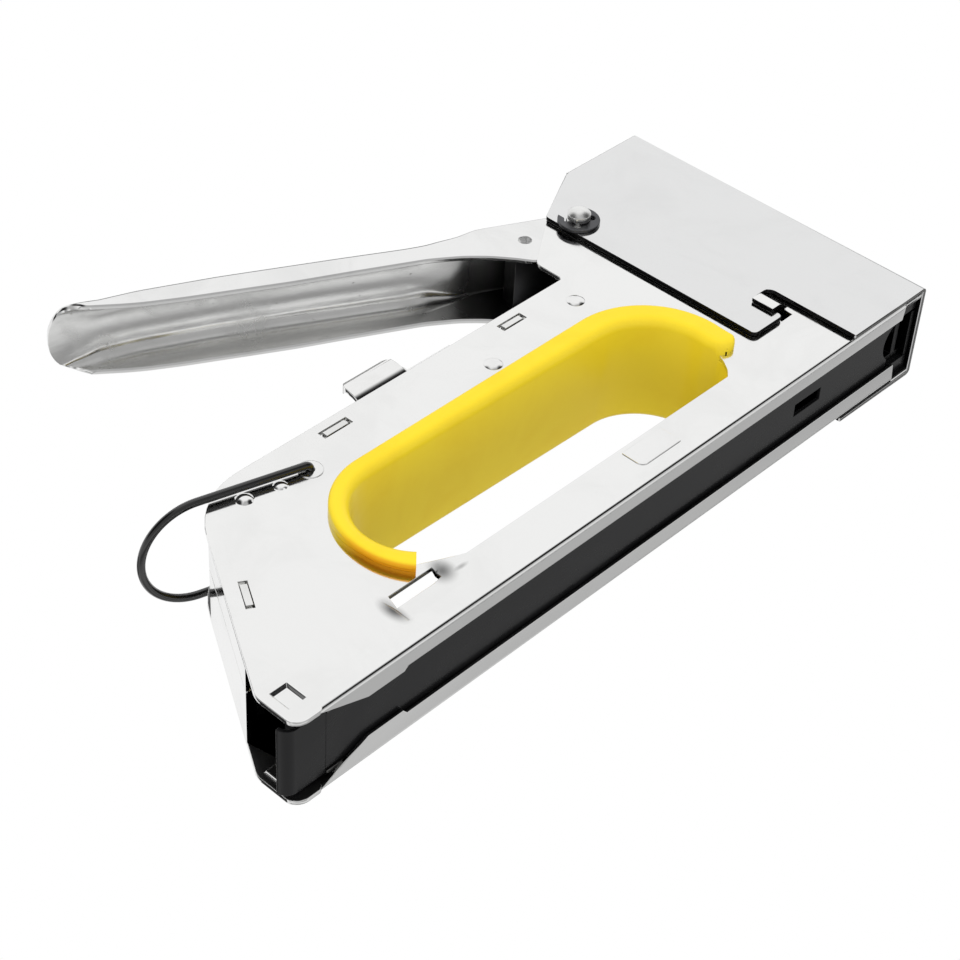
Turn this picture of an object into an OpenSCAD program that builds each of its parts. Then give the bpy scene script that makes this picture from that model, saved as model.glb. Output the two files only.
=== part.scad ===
// Hand staple gun. X runs from the heel to the nose, Y across, Z up from the sole.
// The nose drives staples down through the sole; the squeeze lever stands above the body.

/* [Body shell] */
// Thickness of the side plates
sheet = 1.0; // [0.8:0.1:1.2]
// Distance between the inner faces of the side plates
inner_width = 18.2; // [17.6:0.1:20]
// Height of the rail below the finger opening
rail_height = 10.2; // [10:0.1:14]
// Rear edge of the body to the centre of the opening's rear round
heel_reach = 52.3; // [48:0.5:60]
// Distance between the centres of the opening's two rounds
opening_run = 63.2; // [55:0.5:80]
// Centre of the opening's front round to the face of the nose
head_reach = 62.3; // [62:0.5:70]
// Height of the rear round's centre above the sole
rear_round_z = 24.0; // [23:0.5:28]
// Height of the front round's centre above the sole
front_round_z = 21.6; // [21:0.5:26]
// Height of the body's top edge
body_top = 54.4; // [53:0.2:60]
// Height of the shoulder in front of the lever
shoulder_rise = 7.2; // [6:0.2:10]
// Slope of the rear wall above the horizontal
heel_slope = 59.7; // [56:0.5:64]
// Radius where the rear wall meets the top edge
heel_radius = 18; // [12:0.5:20]
// Reach of the folded lips under the sole
lip_reach = 4.3; // [3:0.1:4.6]
// Extra reach of the lips beside the heel
lip_swell = 1.0; // [0.4:0.1:1.2]

/* [Head cover] */
// Thickness of the head cover
cover_sheet = 1.0; // [0.8:0.1:1.4]
// Gap between the cover and the side plates
cover_gap = 0.15; // [0.1:0.05:0.6]
// Height of the head above the sole
head_top = 79.6; // [78:0.2:86]
// Front face to the cover's rear edge
cover_depth = 39.3; // [38:0.1:42]
// Front face to the rear end of the closed top
crown_depth = 22.5; // [18:0.5:24]
// Height of the hooked lobe's lower edge
lobe_z = 14.2; // [13:0.1:16]
// Width of the notch that takes the hook
notch_width = 5.2; // [4.8:0.1:5.6]
// Height of the notch above the lobe's edge
notch_rise = 8.0; // [7:0.1:9]
// Front face to the notch's front edge
notch_depth = 24.6; // [23:0.1:26]

/* [Grip] */
// Wall of the grip liner
grip_wall = 1.7; // [1.2:0.1:2]
// Inner radius of the liner at the rear
rear_grip_r = 12.2; // [11.5:0.1:12.8]
// Inner radius of the liner at the front
front_grip_r = 13.2; // [12:0.1:13.6]
// Width of the liner's lip at the rear
rear_lip = 4.3; // [3.6:0.1:5]
// Width of the liner's lip at the front
front_lip = 5.8; // [4:0.1:6.2]
// Height of the lip off the side plate
lip_proud = 2.5; // [2:0.1:3]

/* [Lever] */
// Length of the lever from its pivot to its tip
lever_length = 113; // [110:1:125]
// Rest angle of the lever above the horizontal
lever_rise = 26.5; // [26:0.5:30]
// Squeeze travel of the lever in degrees
lever_travel = 27; // [20:1:27]
// Sheet of the lever
lever_sheet = 1.2; // [1:0.1:1.4]
// Play between the lever and each side plate
lever_play = 0.3; // [0.25:0.05:0.5]
// Front face to the lever's pivot
pivot_depth = 35.6; // [35:0.1:37]
// Height of the lever's pivot
pivot_z = 64.8; // [64:0.2:67]
// Radius of the pivot pin
pin_r = 2.5; // [2:0.1:2.8]
// Length of the pin outside each clip
pin_end = 2.3; // [1.2:0.1:2.6]
// Running clearance round pins
pin_play = 0.05; // [0.03:0.01:0.08]
// Thickness of the spring clips
clip_t = 0.7; // [0.6:0.1:1.2]
// Outer radius of the spring clips
clip_r = 4.55; // [4.3:0.05:5]

/* [Lever lock] */
// Radius of the bail's wire
wire_r = 0.8; // [0.7:0.05:1.2]
// Gap between the bail's legs and the side plates
bail_gap = 0.45; // [0.35:0.05:1.6]
// Straight length of the bail's legs
bail_leg = 23; // [20:0.5:26]
// Rest angle of the bail above the horizontal
bail_rise = 16; // [12:1:20]
// Rear edge to the bail's pivot
bail_x = 46.3; // [44:0.1:48]
// Top edge down to the bail's pivot
bail_drop = 8.7; // [8:0.1:10]

/* [Striker] */
// Length of the claw from the pivot to its nose
claw_length = 18; // [17:0.1:18.2]
// Radius of the claw's nose
claw_nose_r = 2.0; // [1.7:0.1:2.2]
// Clearance of the claw's nose in the plunger
nose_play = 0.2; // [0.15:0.05:0.3]
// Mean radius of the striking spring
spring_r = 4.4; // [4:0.1:4.5]
// Wire radius of the striking spring
spring_wire = 0.8; // [0.6:0.05:0.9]
// Turns of the striking spring
spring_turns = 9; // [7:1:10]
// Height of the striking spring's lower seat
spring_seat_z = 44; // [42:0.5:48]
// Thickness of the driver blade
blade_t = 1.2; // [0.8:0.1:1.2]
// Gap between the blade and the cover
blade_gap = 0.3; // [0.25:0.05:0.4]

/* [Magazine] */
// Width across the outside of a staple
staple_width = 11.4; // [10.6:0.1:11.6]
// Height of a staple
staple_height = 5.6; // [4:0.1:5.8]
// Thickness of the staple wire
staple_t = 0.6; // [0.5:0.05:0.7]
// Length of the strip that is loaded
strip_length = 56; // [30:1:90]
// Wall of the magazine channel
tray_wall = 0.8; // [0.7:0.05:1]
// Wall of the guide channel above the magazine
guide_wall = 0.8; // [0.6:0.05:0.9]
// Running gap round the magazine
tray_gap = 0.3; // [0.25:0.05:0.35]
// Overhang of the magazine's end behind the heel
tray_overhang = 1.1; // [0.5:0.1:2]
// Front face to the front end of the magazine's floor
tray_setback = 8.3; // [8:0.1:10]
// Radius of the pusher's rod
rod_r = 0.8; // [0.7:0.05:0.9]
// Turns of the pusher's spring
pusher_turns = 30; // [24:1:34]

/* [Hidden] */
$fn = 48;
face_gap = 0.05;

body_length = heel_reach + opening_run + head_reach;
mid_x = (body_length - tray_overhang) / 2;
inner_y = inner_width / 2;
outer_y = inner_y + sheet;
cover_y = outer_y + cover_gap + cover_sheet;
front_round_x = heel_reach + opening_run;
plate_front = body_length - cover_sheet - 0.2;
head_rear = body_length - cover_depth;
notch_rear = body_length - notch_depth - notch_width;
pivot_x = body_length - pivot_depth;

// Rear wall: it leans forward from heel_bend_z
heel_bend_z = 10;
heel_run = (body_top - heel_bend_z) / tan(heel_slope);
shoulder_x = head_rear - 13;

// Magazine stack, from the sole up
lip_top = sheet;
tray_floor_z = lip_top + tray_gap;
tray_top_z = tray_floor_z + tray_wall;
staple_half = staple_width / 2;
tray_y = staple_half + 0.3 + tray_wall;
core_top = tray_top_z + 0.3 + staple_height - staple_t;
strip_top = core_top + staple_t;
wall_top = strip_top + 0.2;
guide_y = tray_y + tray_gap + guide_wall;
guide_top = wall_top + tray_gap + guide_wall;
tray_front = body_length - tray_setback;
window_depth = 32.2;
window_length = 8.5;
window_width = 3;
core_y = staple_half - staple_t - 0.2;
core_wall = 0.7;
rod_z = tray_top_z + (core_top - core_wall - tray_top_z) / 2;
collar_r = rod_r + 0.9;
blade_x = body_length - cover_sheet - blade_gap - blade_t;
strip_front = blade_x - tray_gap;
strip_rear = strip_front - strip_length;
guide_rear = 8;

// Striker
plunger_front = blade_x;
spring_x = plunger_front - 0.85 - spring_r - spring_wire - 0.25;
pocket_r = spring_r + spring_wire + 0.25;
plunger_rear = spring_x - pocket_r - 1.35;
plunger_y = inner_y - 0.6;
claw_swing = lever_travel / 2;
nose_x = pivot_x + claw_length * cos(claw_swing);
nose_z = pivot_z - claw_length * sin(claw_swing);
plunger_lift = 2 * claw_length * sin(claw_swing);
plunger_top = 66;
seat_t = 1.4;
seat_z = head_top - cover_sheet - seat_t;
lever_y = inner_y - lever_play;
lever_in = lever_y - lever_sheet;
claw_rivet_u = 12;
ear_inset = 0.02;
clip_gap = 0.3;

// Louvres that grip the guide channel: [rear, floor rear, floor front, front, low, floor top, high]
louvre_depth = outer_y - guide_y - sheet;
rear_louvre = [31, 32.3, 41.8, 46.2, 5.1, 9.5, 11.7];
front_louvre = [92.5, 93.6, 103, 107.5, 4.5, 8.3, 9.2];

// Bridges, rivets and slots
bridge_t = 1.4;
bridge_z = body_top - 2.4;
bridge_slots = [[54.5, 7.2], [103.7, 6.6]];
rear_slot_along = 24.2;
rear_slot_in = 3.7;
tab_gap = 0.75;
rear_slot = [7, 1.7];
bridge_lap = 3;
rear_bridge_lap = 7;
rivets = [[94.2, 44.4], [121.8, 47.4]];
rivet_r = 1.6;
rivet_head_r = 2.0;
rivet_head_rise = 0.6;
claw_rivet_r = 1.5;

// Front end of the grip: [angle, share of the lip's width]
grip_end = [[-17, 1], [-20, 0.95], [-22, 0.8], [-23.2, 0.55]];

// Lever stop: sheet, ears and the low strip in front of them
stop_sheet = 1.0;
stop_setback = 15.2;
stop_ear = 13.5;
stop_strip = 12.5;
stop_rise = 7.4;
stop_strip_rise = 1.7;
stop_roll = 3.4;
stop_corner = 4.5;

// Rear wall's flanges, from low to high along Z; the far one takes the rest of the width
flange_low = 16.6;
flange_high = 44;
near_flange = 6.6;
flange_gap = 0.3;

// Hook that holds the cover's lobe, and the hole it's lanced from
hook_t = 0.9;
hook_lap = 1.3;
hook_root = 2.9;
hook_low = 2.2;
hook_rise = 5.2;
hook_hole = [3.6, 2.2];

// Blocks that guide the blade at the nose
nose_block_top = 19;
bail_z = body_top - bail_drop;
bail_y = outer_y + bail_gap + wire_r;
bail_eye_r = 2.5;
bail_eye_rise = 0.15;
bail_bumps = [[14.4, -1.95, 1.8, 0.75], [6.9, -1.5, 1.5, 0.5]];

// Unit vector along v
function unit(v) = v / norm(v);

// Points of the arc that rounds corner b = [x, z, radius] between a and c
function corner_arc(a, b, c, n) =
    b[2] == 0 ? [[b[0], b[1]]] :
    let (at = [b[0], b[1]], p = unit([a[0], a[1]] - at), q = unit([c[0], c[1]] - at),
        half = acos(p * q) / 2, reach = b[2] / tan(half),
        centre = at + unit(p + q) * b[2] / sin(half),
        from = at + p * reach - centre, to = at + q * reach - centre,
        turn = sign(cross(from, to)) * (180 - 2 * half), start = atan2(from[1], from[0]))
    [for (i = [0:n]) centre + b[2] * [cos(start + turn * i / n), sin(start + turn * i / n)]];

// Closed outline through the corners [x, z, radius]
function rounded(corners, n = 8) =
    let (m = len(corners))
    [for (i = [0:m - 1]) each corner_arc(corners[(i + m - 1) % m], corners[i], corners[(i + 1) % m], n)];

// Points on a circle from angle a0 to a1
function arc(x, z, r, a0, a1, n = 16) =
    [for (i = [0:n]) let (a = a0 + (a1 - a0) * i / n) [x + r * cos(a), z + r * sin(a)]];

// Extrudes an XZ outline from y0 to y1
module slab(y0, y1) translate([0, y1, 0]) rotate([90, 0, 0]) linear_extrude(y1 - y0) children();

// Extrudes a YZ outline from x0 to x1
module run(x0, x1) translate([x0, 0, 0]) rotate([90, 0, 90]) linear_extrude(x1 - x0) children();

// A cylinder along Y from y0 to y1
module bar(r, y0, y1) translate([0, y1, 0]) rotate([90, 0, 0]) cylinder(r = r, h = y1 - y0);

// A box from corner lo to corner hi
module block(lo, hi) translate(lo) cube(hi - lo);

// Radius of the ball that gives a dome of radius r and height h
function dome_ball(r, h) = (r * r + h * h) / (2 * h);

// Inverted channel: half-width w, wall t, from z0 up to z1, from x0 to x1
module saddle(x0, x1, w, t, z0, z1)
    run(x0, x1) difference() {
        translate([-w, z0]) square([2 * w, z1 - z0]);
        translate([t - w, z0 - 1]) square([2 * (w - t), z1 - z0 - t + 1]);
    }

// Closed skin over rings that all have as many points
module skin(rings) {
    n = len(rings[0]);
    m = len(rings);
    sides = [for (i = [0:m - 2], j = [0:n - 1])
        let (a = i * n + j, b = i * n + (j + 1) % n) each [[a, b, b + n], [a, b + n, a + n]]];
    caps = [[for (j = [n - 1:-1:0]) j], [for (j = [0:n - 1]) (m - 1) * n + j]];
    polyhedron([for (ring = rings) each ring], concat(sides, caps));
}

// Shifts the workshop frame, which starts at the heel, to the middle of the sole
module place() translate([-mid_x, 0, 0]) children();

// ---- Side plates ----

module plate_outline()
    polygon(rounded([[0, sheet, 1.5], [0, heel_bend_z, 5], [heel_run, body_top, heel_radius],
        [shoulder_x, body_top, 0.8], [shoulder_x, body_top + shoulder_rise, 2.5],
        [head_rear, body_top + shoulder_rise + 9, 2], [body_length - crown_depth, head_top - 2, 3],
        [plate_front, head_top - 2, 0], [plate_front, sheet, 0]]));

// Edge of the finger opening, which the grip liner seats on
module opening_outline() {
    rear_r = rear_grip_r + grip_wall + face_gap;
    front_r = front_grip_r + grip_wall + face_gap;
    foot = front_round_z - rail_height;
    polygon(concat(
        [[heel_reach - 1.5, rail_height], [heel_reach - 5, rail_height + 1.6]],
        arc(heel_reach, rear_round_z, rear_r, 225, 90),
        arc(front_round_x, front_round_z, front_r, 90, -asin(foot / front_r))));
}

// Pressed pocket in a side plate: recess in the outer face with its sheet behind it
module pocket_form(p, depth, back) {
    grow = back;
    intersection() {
        translate([0, 0, p[4] - grow]) linear_extrude(p[6] - p[4] + 2 * grow)
            polygon([[p[0] - grow, -outer_y], [p[1] - grow, -outer_y + depth + back],
                [p[2] + grow, -outer_y + depth + back], [p[3] + grow, -outer_y]]);
        run(p[0] - grow, p[3] + grow)
            polygon([[-outer_y, p[4] - grow], [-outer_y + depth + back, p[4] - grow],
                [-outer_y + depth + back, p[5] + grow], [-outer_y, p[6] + grow]]);
    }
}

// The heel dimple that the magazine's end snaps behind
heel_dimple = [2, 2.5, 5.6, 6, 4, 8.2, 8.8];

module side_plate(flange_reach) {
    louvres = [[rear_louvre, louvre_depth], [front_louvre, louvre_depth], [heel_dimple, 0.6]];
    difference() {
        union() {
            slab(-outer_y, -inner_y) difference() {
                plate_outline();
                opening_outline();
            }
            difference() {
                for (l = louvres) pocket_form(l[0], l[1], sheet);
                slab(-outer_y - 1, 0) opening_outline();
            }
            heel_corner();
            sole_lip();
            rear_flange(flange_reach);
            bail_seat();
            cover_hook();
        }
        for (l = louvres) translate([0, -face_gap, 0]) pocket_form(l[0], l[1] + face_gap, 0);
        // The rear louvre is lanced open along its top
        block([rear_louvre[1] + 0.5, -outer_y - 1, rear_louvre[5]],
            [rear_louvre[2] + 1.8, louvre_depth + sheet + 0.01 - outer_y, rear_louvre[6]]);
        for (s = bridge_slots)
            block([s[0], -outer_y - 1, bridge_z - bridge_t - 0.3],
                [s[0] + s[1], -inner_y + 1, bridge_z + 0.3]);
        block([notch_rear + hook_root - hook_hole[0], -outer_y - 0.02, lobe_z + hook_low - hook_hole[1]],
            [notch_rear + hook_root, -inner_y + 1, lobe_z + hook_low + hook_rise]);
        rear_slot_place() block([0, -outer_y - 1, -rear_slot[1] / 2],
            [rear_slot[0], -inner_y + 1, rear_slot[1] / 2]);
        for (r = rivets) translate([r[0], 0, r[1]]) bar(rivet_r, -outer_y - 1, -inner_y + 1);
        translate([pivot_x, 0, pivot_z]) bar(pin_r, -outer_y - 1, -inner_y + 1);
        translate([bail_x, 0, bail_z]) bar(wire_r + pin_play, -outer_y - 1, -inner_y + 1);
    }
}

// Flat corner of the plate behind the folded lip
module heel_corner() slab(-outer_y, -inner_y)
    polygon(rounded([[0, 0, 3], [0, 2 * sheet + 2, 0], [8, 2 * sheet + 2, 0], [6, 0, 1]]));

// Lip folded in under the sole, swelling beside the heel
module sole_lip() {
    lip_y = -outer_y + lip_reach;
    front = plate_front - 5.5;
    difference() {
        linear_extrude(sheet) polygon([[5.5, -inner_y - 0.4], [17.5, lip_y + lip_swell],
            [25.8, lip_y + lip_swell], [26.6, lip_y], [front, lip_y], [front, -outer_y],
            [5.5, -outer_y]]);
        translate([0, -outer_y, 0]) run(0, body_length)
            difference() {
                square(sheet);
                translate([sheet, sheet]) circle(r = sheet);
            }
    }
    block([front, -outer_y, 0], [plate_front, -inner_y, sheet]);
}

// Half of the rear wall, folded in from the plate's slanted edge
module rear_flange(reach) {
    slope = tan(heel_slope);
    slab(-outer_y + sheet / 2, -outer_y + reach)
        polygon([for (p = [[flange_low, 0], [flange_high, 0], [flange_high, 1], [flange_low, 1]])
            [(p[0] - heel_bend_z) / slope + p[1] * sheet / sin(heel_slope), p[0]]]);
}

// Frame of the slot that runs along the rear wall
module rear_slot_place()
    translate([rear_slot_along * cos(heel_slope) + rear_slot_in * sin(heel_slope), 0,
        heel_bend_z + rear_slot_along * sin(heel_slope) - rear_slot_in * cos(heel_slope)])
        rotate([0, -heel_slope, 0]) translate([-rear_slot[0] / 2, 0, 0]) children();

// Raised eye round the bail's pivot and the two detent domes
module bail_seat() {
    translate([bail_x, 0, bail_z]) bar(bail_eye_r, -outer_y - bail_eye_rise, -outer_y + 0.5);
    for (b = bail_bumps) {
        height = b[3];
        ball = dome_ball(b[2], height);
        translate([bail_x, 0, bail_z]) rotate([0, bail_rise, 0]) translate([-b[0], -outer_y, b[1]])
            intersection() {
                translate([0, ball - height, 0]) sphere(r = ball);
                translate([0, 0.5, 0]) bar(b[2] + 1, -2, 0);
            }
    }
}

// Hook lanced out of the plate, which passes the cover's notch and holds its lobe
module cover_hook() {
    lap = cover_y + 0.1;
    rear = notch_rear - hook_lap;
    root = notch_rear + hook_root;
    translate([0, 0, lobe_z + hook_low]) linear_extrude(hook_rise)
        polygon(rounded([[rear, -lap, 0], [notch_rear + 0.9, -lap, 0.4], [root, 0.1 - outer_y, 0],
            [root + 1.3, 0.1 - outer_y, 0], [notch_rear + 1.3, -lap - hook_t, 1.3],
            [rear, -lap - hook_t, 0.2]], 5));
}

module right_side_plate() color("gainsboro") place() side_plate(near_flange);

module left_side_plate() color("gainsboro") place() mirror([0, 1, 0]) side_plate(2 * outer_y - near_flange - flange_gap);

// ---- Head cover ----

module cover_outline() {
    notch_front = body_length - notch_depth;
    polygon(rounded([[body_length, 0, 0], [body_length, head_top, 0],
        [body_length - crown_depth, head_top, 5],
        [head_rear, pivot_z + 6, 1.2], [head_rear, lobe_z, 1.5],
        [notch_rear, lobe_z, 1.4], [notch_rear, lobe_z + notch_rise, 1.6],
        [notch_front, lobe_z + notch_rise, 1.6], [notch_front, 0, 0]]));
}

module front_cover() color("silver") place() difference() {
    intersection() {
        slab(-cover_y, cover_y) cover_outline();
        // Rounded folds at the front and top edges
        run(0, body_length) polygon(rounded([[-cover_y, -1, 0], [-cover_y, head_top, 1.2],
            [cover_y, head_top, 1.2], [cover_y, -1, 0]]));
        linear_extrude(head_top) polygon(rounded([[0, -cover_y, 0], [0, cover_y, 0],
            [body_length, cover_y, 1.2], [body_length, -cover_y, 1.2]]));
    }
    block([0, -cover_y + cover_sheet, -1],
        [body_length - cover_sheet, cover_y - cover_sheet, head_top - cover_sheet]);
    // The top is open behind the crown, where the lever comes out
    block([0, -cover_y + cover_sheet, -1],
        [body_length - crown_depth + 1, cover_y - cover_sheet, head_top + 1]);
    translate([pivot_x, 0, pivot_z]) bar(pin_r, -cover_y - 1, cover_y + 1);
}

// ---- Grip liner ----

// Section of the liner at one place round the opening: [distance from the opening, y]
function grip_section(lip) =
    let (y = outer_y + lip_proud, in = outer_y + 0.2, web = grip_wall,
        right = concat(
            [[-0.35, 0], [-0.25, 6]],
            [for (i = [0:4]) let (a = 22.5 * i) [2.2 - 2.2 * cos(a), y - 2.2 + 2.2 * sin(a)]],
            [for (i = [0:4]) let (a = 22.5 * i) [lip - 1.1 + 1.1 * sin(a), y - 1.1 + 1.1 * cos(a)]],
            [[lip, in], [web, in]]))
    concat(right, [for (i = [len(right) - 1:-1:1]) [right[i][0], -right[i][1]]]);

function grip_ring(x, z, r, lip, a) =
    [for (s = grip_section(lip)) [x + (r + s[0]) * cos(a), s[1], z + (r + s[0]) * sin(a)]];

// Width of the lip round the rear round, which swells towards the lower end
function lip_round_rear(a) = rear_lip + lookup(a, [[90, 0], [150, -0.5], [180, -0.5], [224, 0.5]]);

module grip_liner() color("gold") place() skin(concat(
    [for (a = [224:-11:103]) grip_ring(heel_reach, rear_round_z, rear_grip_r, lip_round_rear(a), a)],
    [grip_ring(heel_reach, rear_round_z, rear_grip_r, lip_round_rear(90), 90)],
    [for (a = [90:-10:-10]) grip_ring(front_round_x, front_round_z, front_grip_r, front_lip, a)],
    [for (e = grip_end) grip_ring(front_round_x, front_round_z, front_grip_r, front_lip * e[1], e[0])]));

// ---- Bridges, stop and rivets inside the body ----

module top_bridge() color("silver") place() {
    rear = bridge_slots[0][0] - bridge_lap;
    front = bridge_slots[1][0] + bridge_slots[1][1] + bridge_lap;
    block([rear, -inner_y, bridge_z - bridge_t], [front, inner_y, bridge_z]);
    for (s = bridge_slots)
        block([s[0] + tab_gap, -outer_y, bridge_z - bridge_t], [s[0] + s[1] - tab_gap, outer_y, bridge_z]);
}

module rear_bridge() color("silver") place() rear_slot_place() {
    t = rear_slot[1] - 0.3;
    block([-rear_bridge_lap, -inner_y, -t / 2], [rear_slot[0] + rear_bridge_lap, inner_y, t / 2]);
    block([tab_gap, -outer_y, -t / 2], [rear_slot[0] - tab_gap, outer_y, t / 2]);
}

// Half of the hollow between the stop's walls, which follows their rolled tops
module stop_hollow_half(ear_top) polygon([[0, bridge_z + stop_sheet],
    [inner_y - stop_sheet, bridge_z + stop_sheet], [inner_y - stop_sheet, ear_top - stop_roll],
    [inner_y - stop_roll, ear_top - stop_sheet], [inner_y - stop_roll, ear_top + 1], [0, ear_top + 1]]);

// Saddle on the top bridge; its rolled ears stop the lever
module lever_stop() color("gainsboro") place() {
    rear = heel_reach + stop_setback;
    front = rear + stop_ear + stop_strip;
    ear_top = body_top + stop_rise;
    strip_z = body_top + stop_strip_rise;
    difference() {
        slab(-inner_y, inner_y) polygon(rounded([[rear, bridge_z, 0], [rear, ear_top, stop_corner],
            [rear + stop_ear, ear_top, 4], [rear + stop_ear, strip_z, 0.5],
            [front, strip_z, 0.5], [front, bridge_z, 0]], 5));
        for (s = [-1, 1]) run(rear - 1, front + 1) scale([s, 1]) {
            stop_hollow_half(ear_top);
            difference() {
                translate([inner_y - stop_roll, ear_top - stop_roll]) square(stop_roll + 1);
                translate([inner_y - stop_roll, ear_top - stop_roll]) circle(r = stop_roll);
            }
        }
    }
}

module body_rivets() color("gainsboro") place() for (r = rivets) translate([r[0], 0, r[1]]) {
    bar(rivet_r, -outer_y, outer_y);
    for (s = [-1, 1]) scale([1, s, 1]) intersection() {
        ball = dome_ball(rivet_head_r, rivet_head_rise);
        translate([0, outer_y + rivet_head_rise - ball, 0]) sphere(r = ball);
        bar(rivet_head_r, outer_y, outer_y + 2);
    }
}

module rivet_spacers() color("silver") place() for (r = rivets) translate([r[0], 0, r[1]])
    difference() {
        bar(rivet_r + 1.3, -inner_y, inner_y);
        bar(rivet_r, -inner_y - 1, inner_y + 1);
    }

// ---- Fixed pieces of the head and rail ----

module spring_seat() color("silver") place() {
    rear = plunger_rear;
    block([rear, -inner_y, seat_z], [plate_front, inner_y, seat_z + seat_t]);
    translate([spring_x, 0, seat_z - 3]) cylinder(r = spring_r - spring_wire - 0.3, h = 3);
}

// Guides the blade and the leading staple at the nose
module nose_guide() color("dimgray") place() {
    cheek = staple_half + 0.3;
    for (s = [-1, 1]) scale([1, s, 1])
        block([tray_front + 1, cheek, sheet], [plate_front, inner_y, nose_block_top]);
    block([tray_front + 1, -inner_y, strip_top + 0.4], [strip_front, inner_y, nose_block_top]);
}

module guide_channel() color("silver") place() {
    saddle(guide_rear, tray_front + 0.7, guide_y, guide_wall, lip_top, guide_top);
}

// ---- Lever and what turns with it ----

module pivot_pin() color("gainsboro") place() translate([pivot_x, 0, pivot_z]) {
    groove = cover_y + clip_gap;
    end = groove + clip_t + pin_end;
    difference() {
        intersection() {
            bar(pin_r, -end, end);
            // Domed ends
            union() {
                bar(pin_r + 1, -end + 1.2, end - 1.2);
                for (s = [-1, 1]) translate([0, s * (end - 3.4), 0]) sphere(r = 3.4);
            }
        }
        for (s = [-1, 1]) scale([1, s, 1]) difference() {
            bar(pin_r + 1, groove, groove + clip_t);
            bar(pin_r - 0.6, groove - 1, groove + clip_t + 1);
        }
    }
}

// Spring clip with three inner lands, open at the top
module spring_clip() difference() {
    bar(clip_r, 0, clip_t);
    bar(pin_r - 0.6, -1, clip_t + 1);
    for (a = [-35, 215]) rotate([0, -a, 0])
        translate([pin_r + 0.2, 0, 0]) bar(0.9, -1, clip_t + 1);
    block([-pin_r + 0.5, -1, 0], [pin_r - 0.5, clip_t + 1, clip_r + 1]);
    rotate([0, 45, 0]) block([-1, -1, pin_r - 0.4], [1, clip_t + 1, pin_r + 0.6]);
    rotate([0, -45, 0]) block([-1, -1, pin_r - 0.4], [1, clip_t + 1, pin_r + 0.6]);
}

module spring_clips() color("dimgray") place() for (s = [-1, 1]) scale([1, s, 1])
    translate([pivot_x, cover_y + clip_gap, pivot_z]) spring_clip();

// Lever profile by distance u from the pivot: crown height, lower edge and corner radius
tail = lever_length - 113;
lever_crown = [[4, 7.4], [21, 7.4], [25, 6.8], [30, 7.3], [37, 7.2], [52, 7.8], [77, 8.5],
    [94 + tail, 8.3], [103 + tail, 7.4], [109 + tail, 6.2], [113 + tail, 5]];
lever_edge = [[4, -8], [12.4, -8], [16, -5.9], [21.3, -3.6], [26.6, -2.1], [33.8, -1.1], [50, -0.9],
    [63, -0.9], [86, 0], [97 + tail, 0.5], [103 + tail, 0.8], [108 + tail, 1.8], [113 + tail, 3.4]];
lever_corner = [[4, 1.5], [21, 1.5], [32, 5], [113 + tail, 5]];
tip_round = 7;

function lever_half(u) =
    let (over = u - (lever_length - tip_round))
    over <= 0 ? lever_y : lever_y - tip_round + sqrt(max(0.8, tip_round * tip_round - over * over));

// Half of the section: from the lower edge, round the corner, to the crown
function lever_half_path(w, low, top, r, crown) = concat(
    [[w, low], [w, top - r]],
    [for (i = [1:5]) let (a = 18 * i) [w - r + r * cos(a), top - r + r * sin(a)]],
    [[(w - r) / 2, top + 0.75 * crown], [0, top + crown]]);

function mirrored(path) = concat(path, [for (i = [len(path) - 2:-1:0]) [-path[i][0], path[i][1]]]);

function lever_ring(u) =
    let (w = lever_half(u), top = lookup(u, lever_crown), low = lookup(u, lever_edge), t = lever_sheet,
        r = min(lookup(u, lever_corner), w - 0.3, top - low - 0.1),
        crown = u < 26 ? 0 : min(0.5, (u - 26) / 20), r_in = max(r - t, 0.15),
        out = mirrored(lever_half_path(w, low, top, r, crown)),
        in = mirrored(lever_half_path(w - t, low, top - t, r_in, crown)))
    [for (p = concat(out, [for (i = [len(in) - 1:-1:0]) in[i]])) lever_point(u, p[0], p[1])];

// Point u along the lever, y across and v off its line
function lever_point(u, y, v) = [pivot_x - u * cos(lever_rise) + v * sin(lever_rise), y,
    pivot_z + u * sin(lever_rise) + v * cos(lever_rise)];

lever_stations = concat([4, 8.5, 12.4, 16, 21.3, 25, 29, 33, 40, 52, 63, 77, 86, 94],
    [for (u = [98, 102, 104.5, 107, 109, 110.7, 112, 112.8, 113]) u + tail]);

module lever_frame() translate([pivot_x, 0, pivot_z]) rotate([0, lever_rise, 0]) mirror([1, 0, 0])
    children();

module lever() color("silver") place() difference() {
    union() {
        skin([for (u = lever_stations) lever_ring(u)]);
        lever_frame() for (s = [-1, 1]) scale([1, s, 1])
            slab(lever_in + ear_inset, lever_y - ear_inset) {
            circle(r = 8);
            translate([0, -8]) square([4.5, 15]);
        }
    }
    lever_frame() bar(pin_r + pin_play, -lever_y - 1, lever_y + 1);
    lever_frame() translate([claw_rivet_u, 0, 0]) bar(claw_rivet_r, -lever_y - 1, lever_y + 1);
}

// Thick claw between the lever's cheeks; its nose lifts the plunger
module lever_claw() color("dimgray") place() difference() {
    union() {
        translate([pivot_x, 0, pivot_z]) bar(6, -lever_in, lever_in);
        lever_frame() slab(-lever_in, lever_in) polygon([[0, -5], [claw_rivet_u + 3, -3],
            [claw_rivet_u + 3, 3], [0, 5]]);
        translate([nose_x, 0, nose_z]) bar(claw_nose_r, -4, 4);
        neck = 5 / claw_length;
        slab(-4, 4) translate([pivot_x, pivot_z]) rotate(-claw_swing)
            polygon([[0, -5.5], [claw_length - 5, -1.4], [claw_length, -1.4], [claw_length, 1.4],
                [claw_length - 5, 1.4], [0, 5.5]]);
    }
    translate([pivot_x, 0, pivot_z]) bar(pin_r + pin_play, -lever_in - 1, lever_in + 1);
    lever_frame() translate([claw_rivet_u, 0, 0]) bar(claw_rivet_r, -lever_in - 1, lever_in + 1);
}

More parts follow.
